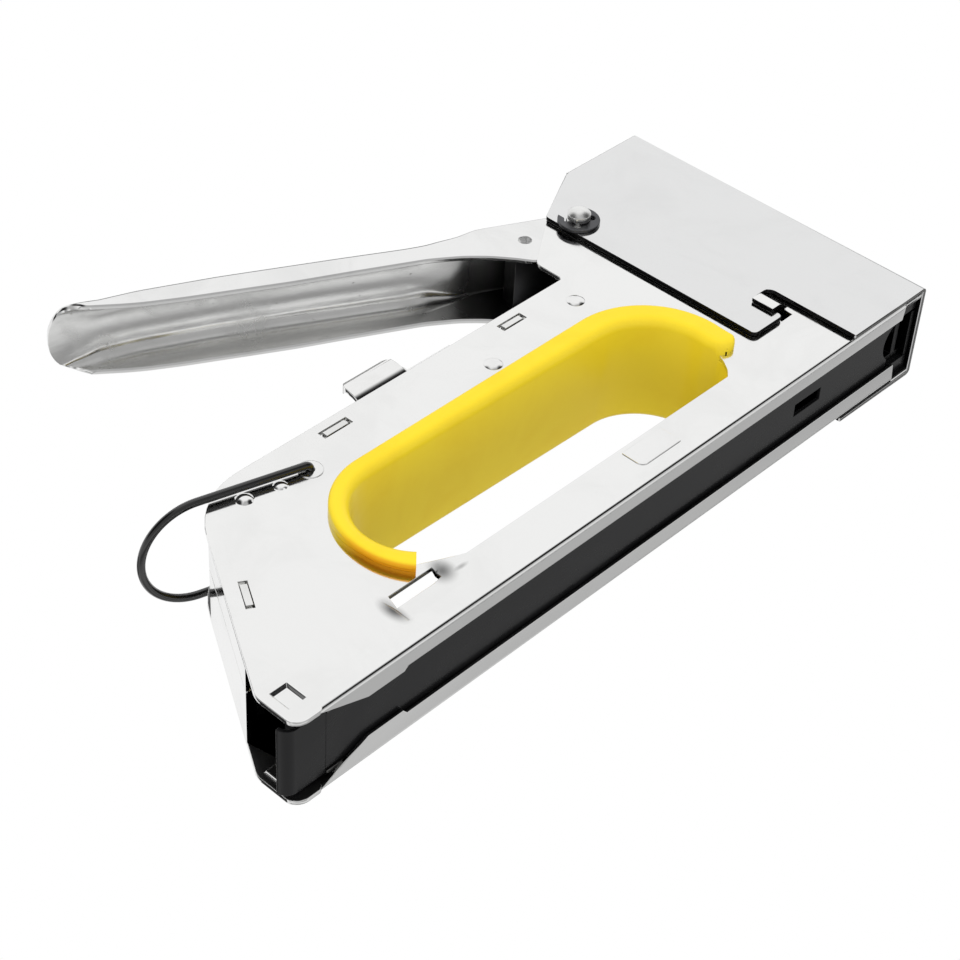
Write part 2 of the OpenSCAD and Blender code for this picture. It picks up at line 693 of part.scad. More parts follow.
module claw_rivet() color("gainsboro") place() lever_frame() translate([claw_rivet_u, 0, 0])
    bar(claw_rivet_r, -lever_y, lever_y);

// ---- Bail ----

module bail() color("black") place() translate([bail_x, 0, bail_z]) rotate([0, bail_rise, 0]) {
    bend = wire_r + bail_gap - bail_eye_rise;
    for (s = [-1, 1]) scale([1, s, 1]) {
        bar(wire_r, inner_y - 0.6, bail_y - bend);
        translate([-bend, bail_y - bend, 0]) rotate_extrude(angle = 90) translate([bend, 0])
            circle(r = wire_r, $fn = 24);
        translate([-bail_leg, bail_y, 0]) rotate([0, 90, 0]) cylinder(r = wire_r, h = bail_leg - bend);
    }
    translate([-bail_leg, 0, 0]) rotate(90) rotate_extrude(angle = 180, $fn = 72)
        translate([bail_y, 0]) circle(r = wire_r, $fn = 24);
}

// ---- Striker ----

module plunger() color("dimgray") place() {
    lip_low = nose_z - claw_nose_r - nose_play;
    lip_high = nose_z + claw_nose_r + nose_play;
    rear = nose_x - claw_nose_r - 0.4;
    difference() {
        union() {
            block([plunger_rear, -plunger_y, spring_seat_z - 4], [plunger_front, plunger_y, plunger_top]);
            block([rear, -4.5, lip_low - 2.5], [plunger_rear, 4.5, lip_high + 2.5]);
        }
        translate([spring_x, 0, spring_seat_z]) cylinder(r = pocket_r, h = 40);
        block([rear - 1, -6, lip_low], [pivot_x + claw_length + claw_nose_r + 0.3, 6, lip_high]);
    }
    translate([plunger_front, 0, plunger_top - 10]) rotate([0, 90, 0]) cylinder(r = 2, h = blade_t);
}

module driver_blade() color("silver") place() difference() {
    block([blade_x, -staple_half + 0.1, 0.9], [blade_x + blade_t, staple_half - 0.1, plunger_top]);
    translate([plunger_front - 1, 0, plunger_top - 10]) rotate([0, 90, 0]) cylinder(r = 2, h = blade_t + 2);
}

// Ring of a coil of radius r and wire radius w at turn angle a and distance d along it
function coil_ring(r, w, a, d, n) = [for (j = [0:n - 1]) let (b = 360 * j / n)
    [(r + w * cos(b)) * cos(a), (r + w * cos(b)) * sin(a), d + w * sin(b)]];

module coil(r, w, turns, length, steps, n)
    skin([for (i = [0:turns * steps]) coil_ring(r, w, 360 * i / steps,
        w + (length - 2 * w) * i / (turns * steps), n)]);

module striking_spring() color("gray") place() translate([spring_x, 0, spring_seat_z])
    coil(spring_r, spring_wire, spring_turns, seat_z - spring_seat_z, 20, 7);

// ---- Magazine ----

module magazine_channel() color("black") place() {
    rear = guide_rear;
    difference() {
        run(rear, tray_front) difference() {
            translate([-tray_y, tray_floor_z]) square([2 * tray_y, wall_top - tray_floor_z]);
            translate([tray_wall - tray_y, tray_top_z]) square([2 * (tray_y - tray_wall), 20]);
        }
        block([body_length - window_depth - window_length, -window_width / 2, 0],
            [body_length - window_depth, window_width / 2, tray_top_z + 0.1]);
        // Concave front edge of the floor
        translate([tray_front + 3, 0, 0]) cylinder(r = 5, h = tray_top_z + 0.1);
    }
}

// Heel end of the magazine: floor that curls up behind the heel, and the web that holds the rod
module magazine_end() color("black") place() {
    half = 7.8;
    curl = 2.5;
    slab(-half, half) difference() {
        union() {
            translate([curl - tray_overhang, tray_floor_z]) square([guide_rear + tray_overhang - curl, tray_wall]);
            translate([curl - tray_overhang, tray_floor_z + curl]) circle(r = curl);
        }
        translate([curl - tray_overhang, tray_floor_z + curl]) circle(r = curl - tray_wall);
        translate([curl - tray_overhang, tray_top_z]) square([2 * curl, 2 * curl]);
        translate([-10, tray_floor_z + curl]) square([20, 2 * curl]);
    }
    difference() {
        block([guide_rear - 3, -tray_y, tray_top_z], [guide_rear - 1.5, tray_y, wall_top]);
        translate([0, 0, rod_z]) rotate([0, 90, 0]) cylinder(r = rod_r, h = guide_rear);
    }
}

module staple_core() color("silver") place() difference() {
    union() {
        saddle(guide_rear, strip_front, core_y, core_wall, tray_top_z, core_top);
        block([strip_front - 3, -core_y, tray_top_z], [strip_front - 1.5, core_y, core_top]);
    }
    block([guide_rear - 1, -1, core_top - 2], [strip_front - 4, 1, core_top + 1]);
    translate([strip_front - 4, 0, rod_z]) rotate([0, 90, 0]) cylinder(r = rod_r, h = 4);
}

module staple_strip() color("silver") place()
    saddle(strip_rear, strip_front, staple_half, staple_t, strip_top - staple_height, strip_top);

module pusher_rod() color("gainsboro") place() translate([guide_rear - 3, 0, rod_z])
    rotate([0, 90, 0]) cylinder(r = rod_r, h = strip_front - 1.5 - guide_rear + 3);

module pusher() color("gray") place() {
    front = strip_rear - 0.1;
    rear = front - 9;
    saddle(rear, front, staple_half, staple_t, strip_top - 4, strip_top);
    difference() {
        union() {
            block([rear + 2, -0.6, rod_z], [front - 2, 0.6, core_top]);
            translate([rear + 2, 0, rod_z]) rotate([0, 90, 0]) cylinder(r = collar_r, h = 5);
        }
        translate([rear, 0, rod_z]) rotate([0, 90, 0]) cylinder(r = rod_r + pin_play, h = 9);
    }
}

module pusher_spring() color("gray") place() {
    from = guide_rear - 1.5;
    to = strip_rear - 0.1 - 7;
    wire = 0.25;
    translate([from, 0, rod_z]) rotate([0, 90, 0])
        coil(rod_r + wire + 0.15, wire, pusher_turns, to - from, 8, 4);
}

right_side_plate();
left_side_plate();
front_cover();
grip_liner();
top_bridge();
rear_bridge();
lever_stop();
body_rivets();
rivet_spacers();
spring_seat();
nose_guide();
guide_channel();
pivot_pin();
spring_clips();
lever();
lever_claw();
claw_rivet();
bail();
plunger();
driver_blade();
striking_spring();
magazine_channel();
magazine_end();
staple_core();
staple_strip();
pusher_rod();
pusher();
pusher_spring();
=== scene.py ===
import math
import bpy
import bmesh
from mathutils import Matrix, Vector
from mathutils.bvhtree import BVHTree


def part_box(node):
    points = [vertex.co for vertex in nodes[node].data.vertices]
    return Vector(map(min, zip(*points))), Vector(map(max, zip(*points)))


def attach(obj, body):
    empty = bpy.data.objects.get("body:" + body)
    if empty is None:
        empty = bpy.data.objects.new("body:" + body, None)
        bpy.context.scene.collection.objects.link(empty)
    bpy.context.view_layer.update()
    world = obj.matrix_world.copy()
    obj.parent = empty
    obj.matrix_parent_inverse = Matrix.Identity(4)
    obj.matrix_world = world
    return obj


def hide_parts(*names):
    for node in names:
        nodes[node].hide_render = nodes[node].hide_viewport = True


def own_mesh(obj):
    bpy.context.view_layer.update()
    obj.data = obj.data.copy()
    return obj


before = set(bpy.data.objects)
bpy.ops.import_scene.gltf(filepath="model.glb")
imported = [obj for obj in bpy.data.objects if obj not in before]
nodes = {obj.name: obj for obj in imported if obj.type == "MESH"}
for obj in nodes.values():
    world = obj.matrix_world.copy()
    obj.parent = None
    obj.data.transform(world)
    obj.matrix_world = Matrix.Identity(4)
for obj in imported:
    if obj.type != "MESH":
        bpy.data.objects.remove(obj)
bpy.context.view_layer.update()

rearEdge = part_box("left_side_plate")[0].x
mm = 0.001


# Mesh helpers

def meshObject(name, points, faces):
    mesh = bpy.data.meshes.new(name)
    mesh.from_pydata([tuple(p) for p in points], [], faces)
    mesh.validate()
    obj = bpy.data.objects.new(name, mesh)
    bpy.context.scene.collection.objects.link(obj)
    return obj


# Quads between rings of the same number of points, closed round each ring
def ringFaces(gaps, count):
    return [(i * count + j, i * count + k, (i + 1) * count + k, (i + 1) * count + j)
            for i in range(gaps) for j in range(count) for k in ((j + 1) % count,)]


def outwards(obj, mergeDistance=1e-6):
    work = bmesh.new()
    work.from_mesh(obj.data)
    bmesh.ops.remove_doubles(work, verts=work.verts, dist=mergeDistance)
    bmesh.ops.recalc_face_normals(work, faces=work.faces)
    work.to_mesh(obj.data)
    work.free()


# Turns the object's modifiers into plain mesh and removes them
def baked(obj):
    bpy.context.view_layer.update()
    evaluated = obj.evaluated_get(bpy.context.evaluated_depsgraph_get())
    mesh = bpy.data.meshes.new_from_object(evaluated)
    obj.modifiers.clear()
    old = obj.data
    obj.data = mesh
    bpy.data.meshes.remove(old)
    mesh.name = obj.name
    return obj


def smooth(obj, angle=35):
    for face in obj.data.polygons:
        face.use_smooth = True
    obj.data.set_sharp_from_angle(angle=math.radians(angle))


def paint(obj, material):
    obj.data.materials.clear()
    obj.data.materials.append(material)
    for face in obj.data.polygons:
        face.material_index = 0


def place(obj, body, material, slotName, *replaced):
    paint(obj, material)
    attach(obj, body)
    if replaced:
        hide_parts(*replaced)
    return obj


# Edges to break: sharp ones, long enough, whose corners aren't needle-like
def sharpEdges(work, angle, shortest, within=None):
    chosen = []
    for e in work.edges:
        if within and not all(within(v.co) for v in e.verts):
            continue
        if len(e.link_faces) != 2 or e.calc_length() < shortest or e.calc_face_angle(0) < math.radians(angle):
            continue
        if all(math.degrees(loop.calc_angle()) > 24 for v in e.verts for face in e.link_faces
               for loop in v.link_loops if loop.face == face):
            chosen.append(e.index)
    return chosen


# Rounds the sharp edges by width; an edge whose round would stray from the surface stays sharp
def brokenEdges(mesh, width, angle, rounds, within=None):
    allowed, reach = width * 0.6, width * 1.6
    source = bmesh.new()
    source.from_mesh(mesh)
    skin = BVHTree.FromBMesh(source)
    chosen = set(sharpEdges(source, angle, allowed, within))
    for attempt in range(8):
        work = source.copy()
        work.edges.ensure_lookup_table()
        bmesh.ops.bevel(work, geom=[work.edges[i] for i in sorted(chosen)], offset=width, segments=rounds,
                        profile=0.5, affect="EDGES", clamp_overlap=False, loop_slide=True)
        stray = [v.co.copy() for v in work.verts if skin.find_nearest(v.co)[3] > allowed]
        near = [o.co.copy() for v in work.verts if skin.find_nearest(v.co)[3] > allowed
                for e in v.link_edges for o in (e.other_vert(v),)]
        if not stray:
            break
        work.free()
        spots = [p for p in stray + near if skin.find_nearest(p)[3] <= allowed] or stray
        chosen -= {i for i in chosen if any(distanceToEdge(source.edges, i, p) < reach for p in spots)}
    work.to_mesh(mesh)
    work.free()
    source.free()
    return len(stray)


def distanceToEdge(edges, index, point):
    edges.ensure_lookup_table()
    a, b = (v.co for v in edges[index].verts)
    along = max(0.0, min(1.0, (point - a).dot(b - a) / (b - a).length_squared))
    return (a + (b - a) * along - point).length


# Broad faces keep their own normals, so that the rounding of an edge can't shade the flat beside it
def flattened(mesh, breadth):
    normals = [Vector(corner.vector) for corner in mesh.corner_normals]
    for face in mesh.polygons:
        corners = [mesh.vertices[i].co for i in face.vertices]
        around = sum((a - b).length for a, b in zip(corners, corners[1:] + corners[:1]))
        if face.area > breadth * around:
            for loop in face.loop_indices:
                normals[loop] = face.normal.copy()
    mesh.normals_split_custom_set(normals)


# Gives the faces that pass a test another material
def repaint(obj, material, test):
    obj.data.materials.append(material)
    for face in obj.data.polygons:
        if test(face):
            face.material_index = len(obj.data.materials) - 1


# A copy of a CAD node with its flats joined and its edges broken, first where special says so
def dressed(name, nodeName, edge, body, material, slotName, angle=32, rounds=2, reshape=None, special=None):
    mesh = nodes[nodeName].data.copy()
    mesh.name = name
    work = bmesh.new()
    work.from_mesh(mesh)
    bmesh.ops.remove_doubles(work, verts=work.verts, dist=2e-6)
    bmesh.ops.dissolve_limit(work, angle_limit=math.radians(0.8), verts=work.verts, edges=work.edges)
    if reshape:
        reshape(work)
    work.to_mesh(mesh)
    work.free()
    if special:
        brokenEdges(mesh, special[0] * mm, angle, 4, special[1])
    if edge > 0:
        left = brokenEdges(mesh, edge * mm, angle, rounds)
        if left:
            print("stray points left on", name, left)
    obj = bpy.data.objects.new(name, mesh)
    bpy.context.scene.collection.objects.link(obj)
    for face in mesh.polygons:
        face.use_smooth = True
    if edge > 0:
        weighted = obj.modifiers.new("flats", "WEIGHTED_NORMAL")
        weighted.weight = 60
        weighted.keep_sharp = False
        baked(obj)
        flattened(obj.data, 0.4 * mm)
    else:
        obj.data.set_sharp_from_angle(angle=math.radians(angle))
    return place(obj, body, material, slotName, nodeName)


# Shader groups

def newGroup(name, inputs, outputs):
    group = bpy.data.node_groups.new(name, "ShaderNodeTree")
    for label, kind, value in inputs:
        socket = group.interface.new_socket(label, in_out="INPUT", socket_type=kind)
        socket.default_value = value
    for label, kind in outputs:
        group.interface.new_socket(label, in_out="OUTPUT", socket_type=kind)
    return group, group.nodes.new("NodeGroupInput"), group.nodes.new("NodeGroupOutput")


def addNode(tree, kind, values=None, **settings):
    node = tree.nodes.new(kind)
    for key, value in settings.items():
        setattr(node, key, value)
    for key, value in (values or {}).items():
        node.inputs[key].default_value = value
    return node


def linked(tree, *pairs):
    for source, target in pairs:
        tree.links.new(source, target)


def ranged(tree, source, low, high, toLow, toHigh, kind="SMOOTHSTEP"):
    node = addNode(tree, "ShaderNodeMapRange", {1: low, 2: high, 3: toLow, 4: toHigh},
                   interpolation_type=kind)
    tree.links.new(source, node.inputs[0])
    return node.outputs[0]


# Faint smudges, and rare fine specks of dust or pitting
def makeHandling():
    group, ins, outs = newGroup("handling",
        [("Smudge Scale", "NodeSocketFloat", 55), ("Speck Scale", "NodeSocketFloat", 900)],
        [("Smudge", "NodeSocketFloat"), ("Speck", "NodeSocketFloat")])
    where = addNode(group, "ShaderNodeTexCoord")
    smudge = addNode(group, "ShaderNodeTexNoise", {"Detail": 5, "Roughness": 0.62, "Distortion": 0.6})
    speck = addNode(group, "ShaderNodeTexVoronoi", {"Randomness": 1.0})
    chance = addNode(group, "ShaderNodeMath", operation="MULTIPLY")
    for texture, label in ((smudge, "Smudge Scale"), (speck, "Speck Scale")):
        linked(group, (where.outputs["Object"], texture.inputs["Vector"]),
               (ins.outputs[label], texture.inputs["Scale"]))
    linked(group, (ranged(group, smudge.outputs["Fac"], 0.42, 0.72, 0, 1), outs.inputs["Smudge"]),
           (ranged(group, speck.outputs["Distance"], 0.10, 0.22, 1, 0), chance.inputs[0]),
           (ranged(group, speck.outputs["Color"], 0.80, 0.92, 0, 1), chance.inputs[1]),
           (chance.outputs[0], outs.inputs["Speck"]))
    return group


# Height of rolled sheet: slow waves from pressing, and fine grain along X
def makeSheetFinish():
    group, ins, outs = newGroup("sheetFinish",
        [("Wave Scale", "NodeSocketFloat", 28), ("Grain", "NodeSocketFloat", 0.1)],
        [("Height", "NodeSocketFloat")])
    where = addNode(group, "ShaderNodeTexCoord")
    wave = addNode(group, "ShaderNodeTexNoise", {"Detail": 1.5, "Roughness": 0.4})
    along = addNode(group, "ShaderNodeMapping", {"Scale": (25, 900, 900)})
    grain = addNode(group, "ShaderNodeTexNoise", {"Scale": 1.0, "Detail": 4, "Roughness": 0.7})
    fine = addNode(group, "ShaderNodeMath", operation="MULTIPLY")
    total = addNode(group, "ShaderNodeMath", operation="ADD")
    linked(group, (where.outputs["Object"], wave.inputs["Vector"]),
           (ins.outputs["Wave Scale"], wave.inputs["Scale"]),
           (where.outputs["Object"], along.inputs["Vector"]), (along.outputs[0], grain.inputs["Vector"]),
           (grain.outputs["Fac"], fine.inputs[0]), (ins.outputs["Grain"], fine.inputs[1]),
           (wave.outputs["Fac"], total.inputs[0]), (fine.outputs[0], total.inputs[1]),
           (total.outputs[0], outs.inputs["Height"]))
    return group


# Height of a moulded or painted skin: orange peel over slow sinks
def makeMould():
    group, ins, outs = newGroup("mouldedSkin",
        [("Peel Scale", "NodeSocketFloat", 900), ("Sink Scale", "NodeSocketFloat", 60)],
        [("Height", "NodeSocketFloat")])
    where = addNode(group, "ShaderNodeTexCoord")
    peel = addNode(group, "ShaderNodeTexNoise", {"Detail": 2, "Roughness": 0.5})
    sink = addNode(group, "ShaderNodeTexNoise", {"Detail": 1, "Roughness": 0.4})
    scaled = addNode(group, "ShaderNodeMath", {1: 0.12}, operation="MULTIPLY")
    total = addNode(group, "ShaderNodeMath", operation="ADD")
    for texture, label in ((peel, "Peel Scale"), (sink, "Sink Scale")):
        linked(group, (where.outputs["Object"], texture.inputs["Vector"]),
               (ins.outputs[label], texture.inputs["Scale"]))
    linked(group, (peel.outputs["Fac"], scaled.inputs[0]), (scaled.outputs[0], total.inputs[0]),
           (sink.outputs["Fac"], total.inputs[1]), (total.outputs[0], outs.inputs["Height"]))
    return group


# 1 on faces that look towards the mid-plane, where painted shade and extra roughness go, 0 elsewhere
def makeInside():
    group, ins, outs = newGroup("insideMask", [("Sharpness", "NodeSocketFloat", 0.9)],
        [("Inside", "NodeSocketFloat")])
    where = addNode(group, "ShaderNodeTexCoord")
    spot = addNode(group, "ShaderNodeSeparateXYZ")
    facing = addNode(group, "ShaderNodeSeparateXYZ")
    side = addNode(group, "ShaderNodeMath", operation="SIGN")
    inward = addNode(group, "ShaderNodeMath", operation="MULTIPLY")
    within = addNode(group, "ShaderNodeMath", operation="LESS_THAN")
    limit = addNode(group, "ShaderNodeMath", {1: -1.0}, operation="MULTIPLY")
    linked(group, (where.outputs["Object"], spot.inputs[0]), (where.outputs["Normal"], facing.inputs[0]),
           (spot.outputs["Y"], side.inputs[0]), (side.outputs[0], inward.inputs[0]),
           (facing.outputs["Y"], inward.inputs[1]), (ins.outputs["Sharpness"], limit.inputs[0]),
           (inward.outputs[0], within.inputs[0]), (limit.outputs[0], within.inputs[1]),
           (within.outputs[0], outs.inputs["Inside"]))
    return group


# 1 towards the front along X, 0 at the rear
def makeAlong():
    group, ins, outs = newGroup("alongMask",
        [("Rear", "NodeSocketFloat", 0.0), ("Front", "NodeSocketFloat", 0.03)],
        [("Along", "NodeSocketFloat")])
    where = addNode(group, "ShaderNodeTexCoord")
    split = addNode(group, "ShaderNodeSeparateXYZ")
    share = addNode(group, "ShaderNodeMapRange", interpolation_type="SMOOTHSTEP")
    linked(group, (where.outputs["Object"], split.inputs[0]), (split.outputs["X"], share.inputs[0]),
           (ins.outputs["Rear"], share.inputs[1]), (ins.outputs["Front"], share.inputs[2]),
           (share.outputs[0], outs.inputs["Along"]))
    return group


# 1 at a place on the side faces, fading to 0 at its reach, for painted shade; stretch is its height for its
# length
def makePressShade():
    group, ins, outs = newGroup("pressMark",
        [("X", "NodeSocketFloat", 0.0), ("Z", "NodeSocketFloat", 0.0),
         ("Reach", "NodeSocketFloat", 0.003), ("Stretch", "NodeSocketFloat", 1.5)],
        [("Mark", "NodeSocketFloat")])
    where = addNode(group, "ShaderNodeTexCoord")
    split = addNode(group, "ShaderNodeSeparateXYZ")
    group.links.new(where.outputs["Object"], split.inputs[0])
    offsets = []
    for axis in "XZ":
        offset = addNode(group, "ShaderNodeMath", operation="SUBTRACT")
        linked(group, (split.outputs[axis], offset.inputs[0]), (ins.outputs[axis], offset.inputs[1]))
        offsets.append(offset.outputs[0])
    squeezed = addNode(group, "ShaderNodeMath", operation="DIVIDE")
    linked(group, (offsets[1], squeezed.inputs[0]), (ins.outputs["Stretch"], squeezed.inputs[1]))
    away = addNode(group, "ShaderNodeCombineXYZ")
    linked(group, (offsets[0], away.inputs[0]), (squeezed.outputs[0], away.inputs[1]))
    length = addNode(group, "ShaderNodeVectorMath", operation="LENGTH")
    group.links.new(away.outputs[0], length.inputs[0])
    fade = addNode(group, "ShaderNodeMapRange", {1: 0.0, 3: 1.0, 4: 0.0}, interpolation_type="SMOOTHSTEP")
    linked(group, (length.outputs["Value"], fade.inputs[0]), (ins.outputs["Reach"], fade.inputs[2]),
           (fade.outputs[0], outs.inputs["Mark"]))
    return group


handling = makeHandling()
insideMask = makeInside()
alongMask = makeAlong()
pressMark = makePressShade()
sheetFinish = makeSheetFinish()
mouldedSkin = makeMould()


def shaderBase(name):
    material = bpy.data.materials.new(name)
    material.use_nodes = True
    tree = material.node_tree
    tree.nodes.clear()
    out = addNode(tree, "ShaderNodeOutputMaterial")
    shader = addNode(tree, "ShaderNodeBsdfPrincipled")
    tree.links.new(shader.outputs[0], out.inputs[0])
    return material, tree, shader


def useGroup(tree, group, values=None):
    node = tree.nodes.new("ShaderNodeGroup")
    node.node_tree = group
    for key, value in (values or {}).items():
        node.inputs[key].default_value = value
    return node


def mixedColour(tree, factor, clean, worn):
    node = addNode(tree, "ShaderNodeMix", data_type="RGBA")
    tree.links.new(factor, node.inputs["Factor"])
    node.inputs["A"].default_value = (*clean, 1)
    node.inputs["B"].default_value = (*worn, 1)
    return node.outputs["Result"]


def bumped(tree, shader, height, depth, strength=1.0):
    bump = addNode(tree, "ShaderNodeBump", {"Strength": strength, "Distance": depth * mm})
    linked(tree, (height, bump.inputs["Height"]), (bump.outputs[0], shader.inputs["Normal"]))


# Bare or plated metal. gloss and dull are the roughness of clean and smudged places; inside is the
# painted-shade colour and extra roughness of the inner side, root the stretch along X with its extra
# roughness and the grey of its painted shade at the front; presses are places of painted shade, each
# with its distance from the rear, height, reach, stretch and share
def metal(name, clean, worn, gloss, dull, waves, grain, depth, specks=0.0, inside=None, root=None,
          presses=()):
    material, tree, shader = shaderBase(name)
    shader.inputs["Metallic"].default_value = 1
    marks = useGroup(tree, handling)
    colour = mixedColour(tree, marks.outputs["Smudge"], clean, worn)
    rough = ranged(tree, marks.outputs["Smudge"], 0, 1, gloss, dull)
    # Painted shade: faces towards the mid-plane take the dark inside colour
    if inside:
        mask = useGroup(tree, insideMask)
        inwardShade = addNode(tree, "ShaderNodeMix", data_type="RGBA")
        inwardShade.inputs["B"].default_value = (*inside[0], 1)
        linked(tree, (mask.outputs[0], inwardShade.inputs["Factor"]), (colour, inwardShade.inputs["A"]))
        colour = inwardShade.outputs["Result"]
        rough = duller(tree, mask.outputs[0], inside[1], rough)
    # Painted shade: towards the front along X, at the lever's root by the pivot, the colour turns to the root
    # grey
    if root:
        mask = useGroup(tree, alongMask, {"Rear": root[0] * mm, "Front": root[1] * mm})
        rough = duller(tree, mask.outputs[0], root[2], rough)
        dark = addNode(tree, "ShaderNodeMix", data_type="RGBA")
        dark.inputs["B"].default_value = (root[3], root[3], root[3], 1)
        linked(tree, (mask.outputs[0], dark.inputs["Factor"]), (colour, dark.inputs["A"]))
        colour = dark.outputs["Result"]
    # Painted shade: soft dark spots on the plates beside the pressed window
    for x, z, reach, stretch, most in presses:
        mark = useGroup(tree, pressMark,
                        {"X": rearEdge + x * mm, "Z": z * mm, "Reach": reach * mm, "Stretch": stretch})
        share = addNode(tree, "ShaderNodeMath", {1: most}, operation="MULTIPLY")
        pressShade = addNode(tree, "ShaderNodeMix", data_type="RGBA")
        pressShade.inputs["B"].default_value = (*pressShadeColour, 1)
        linked(tree, (mark.outputs[0], share.inputs[0]), (share.outputs[0], pressShade.inputs["Factor"]),
               (colour, pressShade.inputs["A"]))
        colour = pressShade.outputs["Result"]
    linked(tree, (colour, shader.inputs["Base Color"]), (rough, shader.inputs["Roughness"]))
    finish = useGroup(tree, sheetFinish, {"Wave Scale": waves, "Grain": grain})
    height = finish.outputs["Height"]
    if specks:
        pit = addNode(tree, "ShaderNodeMath", {1: -specks}, operation="MULTIPLY")
        total = addNode(tree, "ShaderNodeMath", operation="ADD")
        linked(tree, (marks.outputs["Speck"], pit.inputs[0]), (height, total.inputs[0]),
               (pit.outputs[0], total.inputs[1]))
        height = total.outputs[0]
    bumped(tree, shader, height, depth)
    return material


def duller(tree, mask, amount, rough):
    node = addNode(tree, "ShaderNodeMath", {1: amount}, operation="MULTIPLY_ADD")
    linked(tree, (mask, node.inputs[0]), (rough, node.inputs[2]))
    return node.outputs[0]


# Paint or plastic under a thin gloss; hollow is the colour of painted shade where the point attribute for
# shade in the groove is 1
def coated(name, clean, worn, gloss, dull, coat, peel, sink, depth, shine=0.5, hollow=None):
    material, tree, shader = shaderBase(name)
    shader.inputs["Coat Weight"].default_value = coat
    shader.inputs["Specular IOR Level"].default_value = shine
    shader.inputs["Coat Roughness"].default_value = 0.08
    marks = useGroup(tree, handling, {"Speck Scale": 1300})
    colour = mixedColour(tree, marks.outputs["Smudge"], clean, worn)
    if hollow:
        deep = addNode(tree, "ShaderNodeAttribute", attribute_name="deep")
        grooveShaded = addNode(tree, "ShaderNodeMix", data_type="RGBA")
        grooveShaded.inputs["B"].default_value = (*hollow, 1)
        linked(tree, (deep.outputs["Fac"], grooveShaded.inputs["Factor"]), (colour, grooveShaded.inputs["A"]))
        colour = grooveShaded.outputs["Result"]
    tree.links.new(colour, shader.inputs["Base Color"])
    rough = addNode(tree, "ShaderNodeMath", operation="MAXIMUM")
    linked(tree, (ranged(tree, marks.outputs["Smudge"], 0, 1, gloss, dull), rough.inputs[0]),
           (ranged(tree, marks.outputs["Speck"], 0, 1, 0, dull + 0.1), rough.inputs[1]),
           (rough.outputs[0], shader.inputs["Roughness"]))
    skin = useGroup(tree, mouldedSkin, {"Peel Scale": peel, "Sink Scale": sink})
    bumped(tree, shader, skin.outputs["Height"], depth)
    return material


# Painted shade beside the pressed window of the side plates: its colour, and each spot's place, reach,
# stretch and share
pressShadeColour = (0.05, 0.05, 0.05)
windowShades = ((44.6, 10.2, 3.0, 1.3, 0.8), (31.1, 8.6, 2.6, 1.8, 0.9), (47.6, 8.4, 2.2, 0.35, 0.45))
# The plates' and the cover's inside colours are painted shade on their inner faces
plateMetal = metal("nickelPlate", (0.86, 0.86, 0.853), (0.825, 0.825, 0.818), 0.09, 0.15, 24, 0.02, 0.05,
                   inside=((0.11, 0.11, 0.11), 0.22), presses=windowShades)
coverMetal = metal("coverPlate", (0.765, 0.767, 0.767), (0.74, 0.742, 0.742), 0.09, 0.14, 20, 0.02, 0.05,
                   inside=((0.10, 0.10, 0.10), 0.22))
zincMetal = metal("zincPlate", (0.82, 0.82, 0.81), (0.74, 0.74, 0.73), 0.14, 0.24, 50, 0.05, 0.04)
pinMetal = metal("pinSteel", (0.84, 0.84, 0.83), (0.74, 0.74, 0.73), 0.30, 0.40, 60, 0.08, 0.05)
stopMetal = metal("stopChrome", (0.86, 0.86, 0.855), (0.80, 0.80, 0.79), 0.07, 0.14, 50, 0.04, 0.05)
leverMetal = metal("leverChrome", (0.84, 0.84, 0.835), (0.78, 0.78, 0.775), 0.07, 0.16, 45, 0.05, 0.10, 0.25)
# The lever's inner faces and far cheek take painted shade towards the pivot, through root
leverInside = metal("leverInside", (0.82, 0.82, 0.81), (0.74, 0.74, 0.73), 0.17, 0.30, 60, 0.06, 0.30, 0.30,
                    root=(27, 50, 0.25, 0.03))
leverCheek = metal("leverCheek", (0.80, 0.80, 0.79), (0.72, 0.72, 0.71), 0.12, 0.24, 60, 0.06, 0.16, 0.35,
                   root=(8, 45, 0.22, 0.02))
springMetal = metal("springSteel", (0.50, 0.50, 0.49), (0.36, 0.36, 0.355), 0.24, 0.38, 60, 0.12, 0.03)
# Dark grey steel, for the inner parts and for painted shade on the cover's underside
darkSteelAndShade = metal("oiledSteel", (0.17, 0.17, 0.165), (0.11, 0.11, 0.105), 0.26, 0.42, 60, 0.12, 0.03)
wireMetal = metal("stapleWire", (0.66, 0.66, 0.65), (0.52, 0.52, 0.51), 0.2, 0.3, 60, 0.12, 0.02)
hardMetal = metal("hardenedSteel", (0.06, 0.06, 0.062), (0.10, 0.097, 0.095), 0.3, 0.45, 50, 0.2, 0.04, 0.1)
# Near-black steel, for the driver blade and staple core, and for painted shade on the plates' and the cover's
# edges
blackSteelAndShade = metal("blackenedSteel", (0.020, 0.020, 0.021), (0.035, 0.034, 0.033), 0.3, 0.42, 60, 0.1, 0.03)
clipMetal = metal("clipSteel", (0.085, 0.087, 0.092), (0.13, 0.13, 0.135), 0.3, 0.42, 60, 0.05, 0.02)
# The grip's hollow colour is an orange painted shade in the groove under the rear lip
gripPlastic = coated("yellowGrip", (0.91, 0.685, 0.023), (0.88, 0.64, 0.020), 0.36, 0.44, 0.04, 800, 70, 0.03,
                     shine=0.22, hollow=(0.88, 0.36, 0.004))
bailPaint = coated("bailBlack", (0.004, 0.004, 0.004), (0.007, 0.007, 0.007), 0.14, 0.24, 0.6, 900, 90, 0.01)
trayPaint = coated("magazineBlack", (0.005, 0.005, 0.0054), (0.008, 0.008, 0.0084), 0.24, 0.32, 0.0, 1100, 50,
                   0.01, shine=0.22)
print("materials ready")


# Sheet-metal body

lipSlope = 0.085
# The foot and the middle of the bulge are measured down from the top of the ears
stop = {"foot": 7.0, "middle": 4.0, "radius": 4.9, "crown": 2, "innerHalf": 4, "stripDrop": 0.6}


